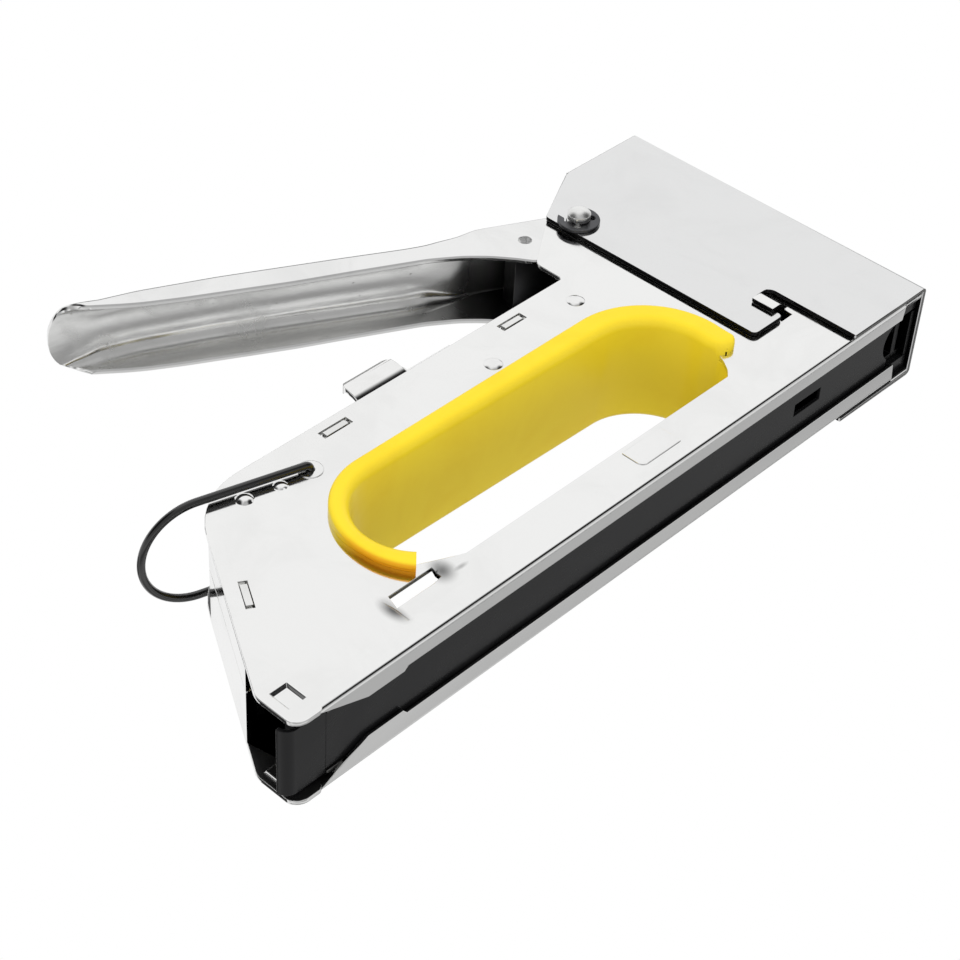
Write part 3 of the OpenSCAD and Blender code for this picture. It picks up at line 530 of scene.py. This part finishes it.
# The folded lips' underside rises towards their inner edges
def slantLips(work):
    outer = max(abs(v.co.y) for v in work.verts if v.co.z < 0.1 * mm)
    for v in work.verts:
        if v.co.z < 0.3 * mm:
            v.co.z += lipSlope * (outer - abs(v.co.y))


# The stop's ears bulge outwards above the plates, and the strip between them lies lower
def bulgedEars(work):
    top = max(v.co.z for v in work.verts)
    foot, middle, radius = top - stop["foot"] * mm, top - stop["middle"] * mm, stop["radius"] * mm
    earFront = max(v.co.x for v in work.verts if v.co.z > top - stop["crown"] * mm)
    cuts = [((earFront + k * mm, 0, 0), (1, 0, 0)) for k in (0.3, 1.2)]
    cuts += [((0, 0, foot + 0.25 * mm * i), (0, 0, 1)) for i in range(13)]
    for spot, direction in cuts:
        bmesh.ops.bisect_plane(work, geom=work.verts[:] + work.edges[:] + work.faces[:], dist=1e-7,
                               plane_co=spot, plane_no=direction)
    full = radius - math.sqrt(radius ** 2 - (middle - foot) ** 2)
    for v in work.verts:
        if v.co.x > earFront + 1.1 * mm:
            if v.co.z > top - 6.9 * mm:
                v.co.z -= stop["stripDrop"] * mm
        elif v.co.z > foot and abs(v.co.y) > stop["innerHalf"] * mm and v.co.x < earFront + 0.4 * mm:
            below = max(0.0, middle - v.co.z)
            v.co.y += math.copysign(full - (radius - math.sqrt(radius ** 2 - below ** 2)), v.co.y)


clipSeat = 0.27


# The clips sit against the cover
def seatedClips(work):
    for v in work.verts:
        v.co.y -= math.copysign(clipSeat * mm, v.co.y)


sheetEdges = {"plate": 0.14, "cover": 0.40, "small": 0.12, "thin": 0.08}
hookFace = -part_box("front_cover")[1].y - 0.2 * mm


# The hook's part of the near plate, and its mirror image
def onHook(point):
    return abs(point.y) > -hookFace and point.z < 40 * mm


plated = [
    ("sidePlateRight", "right_side_plate", "plate", plateMetal),
    ("sidePlateLeft", "left_side_plate", "plate", plateMetal),
    ("headCover", "front_cover", "cover", coverMetal),
    ("leverStop", "lever_stop", "small", stopMetal),
    ("bodyRivets", "body_rivets", "thin", stopMetal),
    ("pivotPin", "pivot_pin", "thin", pinMetal),
]
for piece, node, edge, material in plated:
    reshape = {"plate": slantLips, "small": bulgedEars}.get(edge)
    dressed(piece, node, sheetEdges[edge], "body", material, "plated_steel",
            rounds=3 if edge == "cover" else 2, reshape=reshape,
            special=(0.3, onHook) if edge == "plate" else None)
# Painted shade: on the plates, faces outside the plate plane, at the hook and lips, that face the rear or
# down are near black
for name in ("sidePlateRight", "sidePlateLeft"):
    repaint(bpy.data.objects[name], blackSteelAndShade,
            lambda face: abs(face.center.y) > 10.6 * mm and min(face.normal.x, face.normal.z) < -0.6)
cover = bpy.data.objects["headCover"]
# Painted shade: the cover's edges that face the rear, and its faces above 6 mm that face the rear or down,
# are near black
repaint(cover, blackSteelAndShade, lambda face: face.normal.x < -0.9 and face.center.x > 80 * mm)
repaint(cover, blackSteelAndShade, lambda face: min(face.normal.x, face.normal.z) < -0.5 and face.center.z > 6 * mm)
# Painted shade: the cover's faces below 6 mm that face down are dark grey
repaint(cover, darkSteelAndShade, lambda face: face.normal.z < -0.72 and face.center.z < 6 * mm)

small, thin = sheetEdges["small"], sheetEdges["thin"]
others = [
    ("topBridge", "top_bridge", small, "body", zincMetal, "spring_steel"),
    ("rearBridge", "rear_bridge", small, "body", zincMetal, "spring_steel"),
    ("rivetSpacers", "rivet_spacers", small, "body", darkSteelAndShade, "spring_steel"),
    ("springSeat", "spring_seat", small, "body", darkSteelAndShade, "spring_steel"),
    ("guideChannel", "guide_channel", small, "body", darkSteelAndShade, "spring_steel"),
    ("noseGuide", "nose_guide", small, "body", trayPaint, "black_steel"),
    ("springClips", "spring_clips", small, "body", clipMetal, "black_steel", 32, 2, seatedClips),
    ("leverClaw", "lever_claw", 0.1, "lever", hardMetal, "dark_steel"),
    ("clawRivet", "claw_rivet", 0, "lever", leverMetal, "plated_steel"),
    ("bailWire", "bail", 0, "bail", bailPaint, "black_steel", 60),
    ("plungerBlock", "plunger", 0.25, "plunger", hardMetal, "dark_steel"),
    ("driverBlade", "driver_blade", thin, "plunger", blackSteelAndShade, "spring_steel"),
    ("magazineChannel", "magazine_channel", small, "magazine", trayPaint, "black_steel"),
    ("magazineEnd", "magazine_end", small, "magazine", trayPaint, "black_steel"),
    ("stapleCore", "staple_core", small, "magazine", blackSteelAndShade, "spring_steel"),
    ("pusherRod", "pusher_rod", 0, "magazine", wireMetal, "spring_steel"),
    ("pusherShoe", "pusher", thin, "pusher", hardMetal, "dark_steel"),
]
for piece in others:
    dressed(*piece)

padFace = -10.1 * mm


# A pressed pad on a side plate: a rounded outline of (distance from the rear, height), its bevelled rim
# standing proud by rise, closed behind
def pressedPad(name, outline, rise, bevel, side):
    middle = [sum(p[k] for p in outline) / len(outline) for k in (0, 1)]
    rings = []
    for y, inset in ((padFace + 0.5 * mm, 0), (padFace, 0), (padFace - rise * mm * 0.7, bevel * 0.3),
                     (padFace - rise * mm, bevel)):
        ring = []
        for x, z in outline:
            dx, dz = middle[0] - x, middle[1] - z
            ring.append((rearEdge + (x + math.copysign(min(abs(dx), inset), dx)) * mm, side * -y,
                         (z + math.copysign(min(abs(dz), inset), dz)) * mm))
        rings.append(ring)
    count = len(outline)
    points = [p for ring in rings for p in ring]
    last = len(rings) - 1
    faces = ringFaces(last, count)
    faces += [tuple(range(count)), tuple(last * count + j for j in range(count))]
    pad = meshObject(name, points, faces)
    outwards(pad, 1e-7)
    smooth(pad, 30)
    return place(pad, "body", plateMetal, "plated_steel")


def roundedCorners(corners, steps=5):
    out = []
    for k, (x, z, r) in enumerate(corners):
        before, after = corners[k - 1], corners[(k + 1) % len(corners)]
        if r == 0:
            out.append((x, z))
            continue
        a = Vector((before[0] - x, before[1] - z)).normalized() * r
        b = Vector((after[0] - x, after[1] - z)).normalized() * r
        for i in range(steps + 1):
            t = i / steps
            out.append((x + a.x * (1 - t) ** 2 + b.x * t ** 2, z + a.y * (1 - t) ** 2 + b.y * t ** 2))
    return out


padShapes = {
    "tab": ([(91.8, 9.15, 0.3), (91.8, 3.8, 1.6), (103.1, 3.8, 0.5), (103.1, 9.15, 0.1)], 0.28, 0.3),
    "skirt": ([(103.2, 9.2, 0.1), (103.2, 4.3, 0.1), (107.7, 4.3, 0.6), (107.7, 9.2, 0.3)], 0.03, 0.3),
}
for label, (corners, rise, bevel) in padShapes.items():
    for side, word in ((-1, "Right"), (1, "Left")):
        pressedPad(label + word, roundedCorners(corners), rise, bevel, side)
print("body pieces ready")


# Springs and staples

def treeWith(name, inputs):
    tree = bpy.data.node_groups.new(name, "GeometryNodeTree")
    for label, kind, value in inputs:
        socket = tree.interface.new_socket(label, in_out="INPUT", socket_type=kind)
        socket.default_value = value
    tree.interface.new_socket("Geometry", in_out="OUTPUT", socket_type="NodeSocketGeometry")
    return tree, tree.nodes.new("NodeGroupInput"), tree.nodes.new("NodeGroupOutput")


def endTree(tree, outs, geometry, material, flat=False):
    real = addNode(tree, "GeometryNodeRealizeInstances")
    dress = addNode(tree, "GeometryNodeSetMaterial")
    dress.inputs["Material"].default_value = material
    shade = addNode(tree, "GeometryNodeSetShadeSmooth")
    shade.inputs["Shade Smooth"].default_value = not flat
    linked(tree, (geometry, real.inputs[0]), (real.outputs[0], shade.inputs["Geometry"]),
           (shade.outputs[0], dress.inputs["Geometry"]), (dress.outputs[0], outs.inputs[0]))


# Runs a tree on an empty mesh and keeps the result as plain mesh
def grown(name, tree, values):
    obj = meshObject(name, [], [])
    modifier = obj.modifiers.new(name, "NODES")
    modifier.node_group = tree
    for item in tree.interface.items_tree:
        if item.item_type == "SOCKET" and item.in_out == "INPUT" and item.name in values:
            modifier[item.identifier] = values[item.name]
    return baked(obj)


def makeCoilTree(material):
    tree, ins, outs = treeWith("coil", [
        ("Radius", "NodeSocketFloat", 0.004), ("Wire", "NodeSocketFloat", 0.0008),
        ("Turns", "NodeSocketFloat", 9), ("Length", "NodeSocketFloat", 0.03)])
    spiral = addNode(tree, "GeometryNodeCurveSpiral", {"Resolution": 32})
    circle = addNode(tree, "GeometryNodeCurvePrimitiveCircle", {"Resolution": 12})
    tube = addNode(tree, "GeometryNodeCurveToMesh", {"Fill Caps": True})
    for label, socket in (("Turns", "Rotations"), ("Radius", "Start Radius"), ("Radius", "End Radius"),
                          ("Length", "Height")):
        tree.links.new(ins.outputs[label], spiral.inputs[socket])
    linked(tree, (ins.outputs["Wire"], circle.inputs["Radius"]), (spiral.outputs[0], tube.inputs["Curve"]),
           (circle.outputs[0], tube.inputs["Profile Curve"]))
    endTree(tree, outs, tube.outputs[0], material)
    return tree


coilTree = makeCoilTree(springMetal)
strikingSpring = {"radius": 4.4, "wire": 0.8, "turns": 9, "stroke": 8.5}
low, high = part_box("striking_spring")
strikingCoil = grown("strikingSpring", coilTree, {
    "Radius": strikingSpring["radius"] * mm, "Wire": strikingSpring["wire"] * mm,
    "Turns": float(strikingSpring["turns"]), "Length": high.z - low.z - 2 * strikingSpring["wire"] * mm})
strikingCoil.data.transform(
    Matrix.Translation(((low.x + high.x) / 2, 0, low.z + strikingSpring["wire"] * mm)))
outwards(strikingCoil, 1e-7)
place(strikingCoil, "plunger", springMetal, "spring_steel", "striking_spring")
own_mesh(strikingCoil)

pusherSpring = {"wire": 0.25, "turns": 30, "stroke": 85}
low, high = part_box("pusher_spring")
pusherCoil = grown("pusherSpring", coilTree, {
    "Radius": (high.z - low.z) / 2 - pusherSpring["wire"] * mm, "Wire": pusherSpring["wire"] * mm,
    "Turns": float(pusherSpring["turns"]), "Length": high.x - low.x - 2 * pusherSpring["wire"] * mm})
pusherCoil.data.transform(Matrix.Translation((low.x + pusherSpring["wire"] * mm, 0, (low.z + high.z) / 2))
                       @ Matrix.Rotation(math.radians(90), 4, "Y"))
outwards(pusherCoil, 1e-7)
place(pusherCoil, "magazine", springMetal, "spring_steel", "pusher_spring")
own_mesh(pusherCoil)

stapleStrip = {"wire": 0.6, "corner": 0.35, "glueGap": 0.04}


# One staple is drawn as a closed outline and repeated along the strip
def makeStapleTree(profile, material):
    tree, ins, outs = treeWith("stapleRow", [
        ("Count", "NodeSocketInt", 90), ("Pitch", "NodeSocketVector", (0.0006, 0, 0)),
        ("Start", "NodeSocketVector", (0, 0, 0))])
    one = addNode(tree, "GeometryNodeObjectInfo", transform_space="ORIGINAL")
    one.inputs["Object"].default_value = profile
    row = addNode(tree, "GeometryNodeMeshLine", mode="OFFSET")
    copies = addNode(tree, "GeometryNodeInstanceOnPoints")
    linked(tree, (ins.outputs["Count"], row.inputs["Count"]), (ins.outputs["Pitch"], row.inputs["Offset"]),
           (ins.outputs["Start"], row.inputs["Start Location"]), (row.outputs[0], copies.inputs["Points"]),
           (one.outputs["Geometry"], copies.inputs["Instance"]))
    endTree(tree, outs, copies.outputs[0], material, flat=True)
    return tree


def stapleOutline(halfWidth, height, wire, corner):
    outer = [(-halfWidth, -height), (-halfWidth, -corner), (-halfWidth + corner, 0),
             (halfWidth - corner, 0), (halfWidth, -corner), (halfWidth, -height)]
    inner = [(halfWidth - wire, -height), (halfWidth - wire, -wire), (wire - halfWidth, -wire),
             (wire - halfWidth, -height)]
    return outer + inner


def oneStaple(halfWidth, height, wire, corner, gap):
    outline = stapleOutline(halfWidth, height, wire, corner)
    count = len(outline)
    points = [(x, y, z) for x in (gap / 2, wire - gap / 2) for y, z in outline]
    sides = [(i, (i + 1) % count, count + (i + 1) % count, count + i) for i in range(count)]
    # Caps as convex strips: left leg, crown, right leg
    strips = [(0, 1, 8, 9), (1, 2, 8), (2, 3, 7, 8), (3, 4, 7), (4, 5, 6, 7)]
    caps = [tuple(reversed(s)) for s in strips] + [tuple(count + i for i in s) for s in strips]
    staple = meshObject("stapleShape", points, sides + caps)
    outwards(staple, 1e-8)
    return staple


low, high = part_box("staple_strip")
wire = stapleStrip["wire"] * mm
staple = oneStaple(high.y, high.z - low.z, wire, stapleStrip["corner"] * mm, stapleStrip["glueGap"] * mm)
stapleTree = makeStapleTree(staple, wireMetal)
count = int((high.x - low.x) / wire)
strip = grown("stapleStrip", stapleTree, {"Count": count, "Pitch": (wire, 0, 0),
                                          "Start": (high.x - count * wire, 0, high.z)})
bpy.data.objects.remove(staple)
place(strip, "magazine", wireMetal, "spring_steel", "staple_strip")
print("springs and", count, "staples ready")


# Lever

lever = {
    "length": 113.0, "halfWidth": 8.8, "sheet": 1.2, "rise": 26.5, "edge": 0.32,
    "crown": [(4, 7.4), (21, 7.4), (25, 6.8), (30, 7.3), (37, 7.2), (52, 7.8), (77, 8.5), (94, 8.3),
              (103, 7.4), (109, 6.2), (113, 5)],
    "low": [(4, -8), (12.4, -8), (16, -5.9), (21.3, -3.6), (26.6, -2.1), (33.8, -1.1), (50, -0.9),
            (63, -0.9), (86, 0), (94, 0.6), (98, 1.2), (102, 2.0), (105, 2.6), (113, 2.6)],
    "corner": [(4, 1.5), (21, 1.5), (32, 5), (113, 5)],
    "bulge": 0.5, "tipRound": 8.2, "rootStart": 4.0,
}


def lookup(table, u):
    if u <= table[0][0]:
        return table[0][1]
    for (a, va), (b, vb) in zip(table, table[1:]):
        if u <= b:
            return va + (vb - va) * (u - a) / (b - a)
    return table[-1][1]


def eased(table, u, spread=1.6):
    spread = min(spread, 0.9 * abs(table[-1][0] - u))
    weights = ((-2, 1), (-1, 2), (0, 3), (1, 2), (2, 1))
    return sum(lookup(table, u + spread * k / 2) * w for k, w in weights) / 9


# The tip is cut to a round outline: half its width at u
def tipWidth(u):
    over = u - (lever["length"] - lever["tipRound"])
    if over <= 0:
        return lever["halfWidth"]
    bow = lever["tipRound"] ** 2 - over * over
    return lever["halfWidth"] - lever["tipRound"] + math.sqrt(max(0, bow))


# The same number of points along what is left of a path beyond start, a place between two of its points
def clipped(path, start):
    last = len(path) - 1
    out = []
    for j in range(last + 1):
        at = start + (last - start) * j / last
        i = min(int(at), last - 1)
        k = at - i
        out.append(tuple(a + (b - a) * k for a, b in zip(path[i], path[i + 1])))
    return out


def halfPath(w, lowEdge, top, r, crown, steps=10):
    path = [(w - r + r * math.cos(math.radians(a)), top - r + r * math.sin(math.radians(a)))
            for a in [90 * i / steps for i in range(steps + 1)]]
    flat = w - r
    crowned = [(flat * k, top + crown * (1 - k * k)) for k in (0.8, 0.6, 0.4, 0.2, 0.0)]
    return [(w, lowEdge)] + path + crowned


def leverRing(u):
    w, t = lever["halfWidth"], lever["sheet"]
    e = min(lever["edge"], t / 2 - 0.05)
    top, lowEdge = eased(lever["crown"], u), eased(lever["low"], u) + e
    r = min(eased(lever["corner"], u), top - lowEdge - 0.1)
    crown = 0 if u < 26 else min(lever["bulge"], (u - 26) / 20)
    outer = halfPath(w, lowEdge, top, r, crown)
    inner = halfPath(w - t, lowEdge, top - t, max(r - t, 0.15), crown)
    limit, start = tipWidth(u), 0
    for i, (a, b) in enumerate(zip(outer, outer[1:])):
        if a[0] > limit >= b[0]:
            start = i + (a[0] - limit) / (a[0] - b[0])
    outer, inner = clipped(outer, start), clipped(inner, start)
    # The sheet's edge is broken on both sides
    across = (Vector(outer[0]) - Vector(inner[0])).normalized() * e
    onward = (Vector(outer[0]) - Vector(outer[1])).normalized() * e
    foot = [tuple(Vector(inner[0]) + across + onward), tuple(Vector(outer[0]) - across + onward)]
    right = list(reversed(inner)) + foot + outer          # inner crown, down, round the foot, up, outer crown
    left = [(-y, v) for y, v in reversed(right[1:-1])]
    return right + left


def leverPoint(u, y, v):
    c, s = math.cos(math.radians(lever["rise"])), math.sin(math.radians(lever["rise"]))
    return (leverPivot.x + (-u * c + v * s) * mm, y * mm, leverPivot.z + (u * s + v * c) * mm)


low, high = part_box("pivot_pin")
leverPivot = (low + high) / 2
stations = [lever["rootStart"] + i * 1.5 for i in range(64)]
stations = [u for u in stations if u < 98] + [98 + i for i in range(10)]
stations += [108 + 0.5 * i for i in range(9)] + [112.5, 112.8, 113]
stations = sorted(set(stations))
rings = [[leverPoint(u, y, v) for y, v in leverRing(u)] for u in stations]
per = len(rings[0])
points = [p for ring in rings for p in ring]
faces = ringFaces(len(rings) - 1, per)
for start in (0, (len(rings) - 1) * per):
    # Each end is closed by quads across the sheet: the inner path faces the outer one
    side = (per + 2) // 2
    for j in range(side // 2 - 1):
        faces.append((start + j, start + j + 1, start + side - 2 - j, start + side - 1 - j))
    mirror = [0] + list(range(per - 1, side - 1, -1)) + [side - 1]
    for j in range(len(mirror) // 2 - 1):
        faces.append(tuple(start + mirror[k] for k in (j, j + 1, -2 - j, -1 - j)))
shell = meshObject("leverShell", points, faces)
outwards(shell, 1e-7)
smooth(shell, 40)
place(shell, "lever", leverMetal, "plated_steel", "lever")
shell.data.materials.append(leverInside)
shell.data.materials.append(leverCheek)
innerSteps = len(halfPath(8, 0, 7, 3, 0)) - 1
for face in shell.data.polygons:
    step = min(face.index % per, per - 1 - face.index % per)
    if step < innerSteps and face.index < per * (len(rings) - 1):
        face.material_index = 2 if step == innerSteps - 1 else 1
print("lever ready", len(shell.data.polygons))


# Grip liner

grip = {
    "wall": 1.7, "rearRadius": 12.2, "frontRadius": 13.2, "rearLip": 4.3, "frontLip": 5.8,
    "rearSwell": [(90, 0), (150, -0.5), (180, -0.5), (224, 0.5)],
    "groove": [(90, 0), (160, 0), (184, 1), (224, 1)], "grooveDepth": 0.9,
    "frontEnd": [(-16, 5.6, 12.6), (-18, 5.2, 12.5), (-20, 4.6, 12.25), (-21.6, 3.9, 11.8),
                 (-22.8, 3.1, 11.2), (-23.6, 2.4, 10.6)],
    "wallEnd": [-24.5, -27, -30, -34, -39, -44], "flare": (-6, 30, 2.2),
    "rearCentre": (52.3, 24.0), "frontCentre": (115.5, 21.6), "rearEnd": 224, "rearTuck": 48,
}


# Half section from the wall's inner face over the shoulder and the crown to the lip's outer side, which is
# undercut by the groove; each point has its distance from the wall, its y, and how much painted shade it gets
# in the groove
def gripSection(lip, groove=0.0, y=12.6, shoulder=2.2, rim=1.1, low=10.13, steps=9):
    turn = [90 * i / steps for i in range(steps + 1)]
    path = [(-0.35, 0, 0), (-0.33, 3, 0), (-0.25, 6, 0), (-0.12, 8.5, 0)]
    path = [(d, min(yy, 0.9 * (y - shoulder)), g) for d, yy, g in path]
    path += [(shoulder - shoulder * math.cos(math.radians(a)),
              y - shoulder + shoulder * math.sin(math.radians(a)), 0) for a in turn]
    # The outer part of the rim's round takes some painted shade towards the groove
    path += [(lip - rim + rim * math.sin(math.radians(a)), y - rim + rim * math.cos(math.radians(a)),
              0.85 * groove * max(0, min(1, (a - 35) / 25))) for a in turn]
    high = y - rim
    for k, share in ((0.04, 0.1), (0.1, 0.6), (0.3, 0.95), (0.6, 1), (1, 0.9)):
        path.append((lip - grip["grooveDepth"] * groove * share, high + (low - high) * k,
                     groove * min(1, share * 1.3)))
    path += [(grip["wall"], low * k, 0) for k in (1, 0.94, 0.84, 0.4)]
    return path + [(d, -yy, g) for d, yy, g in reversed(path[1:])]


# The wall between the plates ends before the lips do, by the tuck
def gripRing(centre, radius, angle, section, tuck=0.0):
    ring = []
    for d, y, g in section:
        turn = math.radians(angle - tuck * max(0, min(1, (9.9 - abs(y)) / 0.9)))
        ring.append(((centre[0] + (radius + d) * math.cos(turn)) * mm + rearEdge, y * mm,
                     (centre[1] + (radius + d) * math.sin(turn)) * mm, g))
    return ring


def rearLipAt(angle):
    return grip["rearLip"] + eased(grip["rearSwell"], angle, 12)


rings = []
steps = 34
for i in range(steps + 1):
    angle = grip["rearEnd"] + (90 - grip["rearEnd"]) * i / steps
    rings.append(gripRing(grip["rearCentre"], grip["rearRadius"], angle,
                          gripSection(rearLipAt(angle), eased(grip["groove"], angle, 8)),
                          grip["rearTuck"] * ((angle - 90) / (grip["rearEnd"] - 90)) ** 2))
steps = 14
front = (grip["frontCentre"], grip["frontRadius"])


# The front round opens out towards its lower end
def frontRing(angle, section):
    start, reach, most = grip["flare"]
    k = max(0, min(1, (start - angle) / reach))
    flare = most * k * k * (3 - 2 * k)
    return gripRing(*front, angle, [(d + flare, y, g) for d, y, g in section])


rearTop, frontTop = rings[-1], gripRing(*front, 90, gripSection(grip["frontLip"]))
for i in range(1, steps):
    k = i / steps
    rings.append([tuple(a + (b - a) * k for a, b in zip(p, q)) for p, q in zip(rearTop, frontTop)])
for angle in [90 - 4 * i for i in range(27)]:
    rings.append(frontRing(angle, gripSection(grip["frontLip"])))
# The front end of each lip rounds off onto the plate; the wall goes on between the plates
for angle, lip, y in grip["frontEnd"]:
    rings.append(frontRing(angle, gripSection(lip, 0, y, 2.0, 0.9, min(10.13, y - 0.95))))
for angle in grip["wallEnd"]:
    rings.append(frontRing(angle, gripSection(1.75, 0, 8.95, 0.4, 0.2, 8.6)))
per = len(rings[0])
points = [p[:3] for ring in rings for p in ring]
faces = ringFaces(len(rings) - 1, per)
faces.append(tuple((len(rings) - 1) * per + j for j in range(per)))
# The rear end is closed from the wall's edge out to each lip, following the hollow section
half = (per + 1) // 2
sides = [(0, 1, half - 1), (1, 2, half - 2, half - 1), (2, 3, half - 2), (3, 4, half - 3, half - 2),
         (4, half - 4, half - 3), tuple(range(4, half - 3))]
faces += sides + [tuple((per - j) % per for j in face) for face in sides] + [(0, half - 1, half)]
liner = meshObject("gripLiner", points, faces)
# Painted shade: orange in the groove under the rear lip, from each point's share
grooveShades = liner.data.attributes.new("deep", "FLOAT", "POINT")
grooveShades.data.foreach_set("value", [p[3] for ring in rings for p in ring])
outwards(liner, 1e-7)
smooth(liner, 35)
place(liner, "body", gripPlastic, "yellow_plastic", "grip_liner")
print("grip ready")


# Studio

studio = {
    "place": (-0.265844, -0.287667, -0.190997), "right": (0.687273, -0.048681, -0.724766),
    "up": (0.446914, -0.758226, 0.474723), "lens": 86.905, "floor": 4.0,
}

camera = bpy.data.objects.new("camera", bpy.data.cameras.new("camera"))
bpy.context.scene.collection.objects.link(camera)
bpy.context.scene.camera = camera
right, up = Vector(studio["right"]), Vector(studio["up"])
back = right.cross(up)
camera.matrix_world = Matrix.Translation(studio["place"]) @ Matrix((right, up, back)).transposed().to_4x4()
camera.data.lens = studio["lens"]
camera.data.sensor_width = 36
camera.data.clip_start = 0.01
camera.data.clip_end = 20


def makeFloor():
    size = studio["floor"]
    ring = 48
    points = [(0, 0, 0)] + [(size * math.cos(2 * math.pi * i / ring),
                             size * math.sin(2 * math.pi * i / ring), 0) for i in range(ring)]
    floor = meshObject("floor", points, [(0, i + 1, (i + 1) % ring + 1) for i in range(ring)])
    material = bpy.data.materials.new("paleFloor")
    material.use_nodes = True
    tree = material.node_tree
    tree.nodes.clear()
    out = addNode(tree, "ShaderNodeOutputMaterial")
    rays = addNode(tree, "ShaderNodeLightPath")
    side = addNode(tree, "ShaderNodeNewGeometry")
    clear = addNode(tree, "ShaderNodeBsdfTransparent")
    matt = addNode(tree, "ShaderNodeBsdfDiffuse", {"Color": (0.86, 0.86, 0.85, 1)})
    above = addNode(tree, "ShaderNodeMath", {0: 1.0}, operation="SUBTRACT")
    seen = addNode(tree, "ShaderNodeMath", operation="MULTIPLY")
    mix = addNode(tree, "ShaderNodeMixShader")
    linked(tree, (side.outputs["Backfacing"], above.inputs[1]),
           (rays.outputs["Is Camera Ray"], seen.inputs[0]), (above.outputs[0], seen.inputs[1]),
           (seen.outputs[0], mix.inputs[0]), (clear.outputs[0], mix.inputs[1]),
           (matt.outputs[0], mix.inputs[2]), (mix.outputs[0], out.inputs[0]))
    floor.data.materials.append(material)


makeFloor()

# Soft cards round the object, seen by the metal: direction, inner and outer angle, brightness
cards = [
    ((0.50, -0.70, 0.50), 30, 52, 1.0),
    ((-0.62, -0.60, 0.45), 20, 40, 0.02),
    ((-0.53, 0.62, 0.57), 10, 23, 0.02),
    ((0.573, -0.65, -0.50), 15, 33, 0.01),
    ((0.573, 0.48, 0.65), 8, 22, 0.06),
    ((0.573, 0.73, -0.38), 7, 20, 0.47),
    ((0.573, 0.22, -0.79), 8, 24, 0.80),
]
# Strips of light below the object, from the near side to the far one: y of the direction, brightness
strips = [(-1.0, 0.45), (-0.86, 0.50), (-0.67, 0.42), (-0.42, 0.42), (-0.20, 0.50), (0.0, 0.72),
          (0.17, 0.98), (0.27, 0.75), (0.37, 0.28), (0.47, 0.34), (0.63, 0.68), (0.72, 0.84),
          (0.86, 0.40), (1.0, 0.20)]


def makeWorld():
    world = bpy.data.worlds.new("studio")
    bpy.context.scene.world = world
    world.use_nodes = True
    tree = world.node_tree
    tree.nodes.clear()
    out = addNode(tree, "ShaderNodeOutputWorld")
    rays = addNode(tree, "ShaderNodeLightPath")
    where = addNode(tree, "ShaderNodeTexCoord")
    split = addNode(tree, "ShaderNodeSeparateXYZ")
    tree.links.new(where.outputs["Generated"], split.inputs[0])
    above = ranged(tree, split.outputs["Z"], -0.3, 0.6, 0.70, 0.94)
    across = ranged(tree, split.outputs["Y"], -1, 1, 0, 1, "LINEAR")
    below = addNode(tree, "ShaderNodeValToRGB")
    tree.links.new(across, below.inputs[0])
    ramp = below.color_ramp
    ramp.interpolation = "EASE"
    while len(ramp.elements) < len(strips):
        ramp.elements.new(0.5)
    for element, (y, value) in zip(ramp.elements, strips):
        element.position = (y + 1) / 2
        element.color = (value, value, value, 1)
    shade = addNode(tree, "ShaderNodeMix")
    linked(tree, (ranged(tree, split.outputs["Z"], 0.05, -0.22, 0, 1), shade.inputs["Factor"]),
           (above, shade.inputs["A"]), (below.outputs["Color"], shade.inputs["B"]))
    shade = shade.outputs["Result"]
    for direction, inner, outer, value in cards:
        facing = addNode(tree, "ShaderNodeVectorMath", {1: Vector(direction).normalized()},
                         operation="DOT_PRODUCT")
        tree.links.new(where.outputs["Generated"], facing.inputs[0])
        mask = ranged(tree, facing.outputs["Value"], math.cos(math.radians(outer)),
                      math.cos(math.radians(inner)), 0, 1)
        mix = addNode(tree, "ShaderNodeMix")
        linked(tree, (mask, mix.inputs["Factor"]), (shade, mix.inputs["A"]))
        mix.inputs["B"].default_value = value
        shade = mix.outputs["Result"]
    # Matt surfaces are lit more from below and from the near side
    lit = addNode(tree, "ShaderNodeVectorMath", {1: Vector((0, -0.6, -0.8))}, operation="DOT_PRODUCT")
    tree.links.new(where.outputs["Generated"], lit.inputs[0])
    diffuse = ranged(tree, lit.outputs["Value"], -1, 1, 0.24, 1.26, "LINEAR")
    glossy = addNode(tree, "ShaderNodeMix")
    linked(tree, (rays.outputs["Is Glossy Ray"], glossy.inputs["Factor"]), (diffuse, glossy.inputs["A"]),
           (shade, glossy.inputs["B"]))
    seen = addNode(tree, "ShaderNodeMix")
    linked(tree, (rays.outputs["Is Camera Ray"], seen.inputs["Factor"]),
           (glossy.outputs["Result"], seen.inputs["A"]))
    seen.inputs["B"].default_value = 1.0
    sky = addNode(tree, "ShaderNodeBackground", {"Color": (1, 1, 1, 1)})
    linked(tree, (seen.outputs["Result"], sky.inputs["Strength"]), (sky.outputs[0], out.inputs[0]))


makeWorld()

lamps = [
    ("key", (0.25, -0.95, 0.75), 0.7, 3.2),
    ("fill", (-0.8, -0.5, 0.5), 0.8, 2.0),
]
for name, spot, size, power in lamps:
    lamp = bpy.data.objects.new(name, bpy.data.lights.new(name, "AREA"))
    bpy.context.scene.collection.objects.link(lamp)
    lamp.data.size = size
    lamp.data.energy = power
    lamp.location = spot
    lamp.rotation_mode = "QUATERNION"
    lamp.rotation_quaternion = Vector(spot).to_track_quat("Z", "Y")
    lamp.visible_camera = False
    lamp.visible_glossy = False

bpy.context.scene.view_settings.view_transform = "Standard"
print("studio ready")
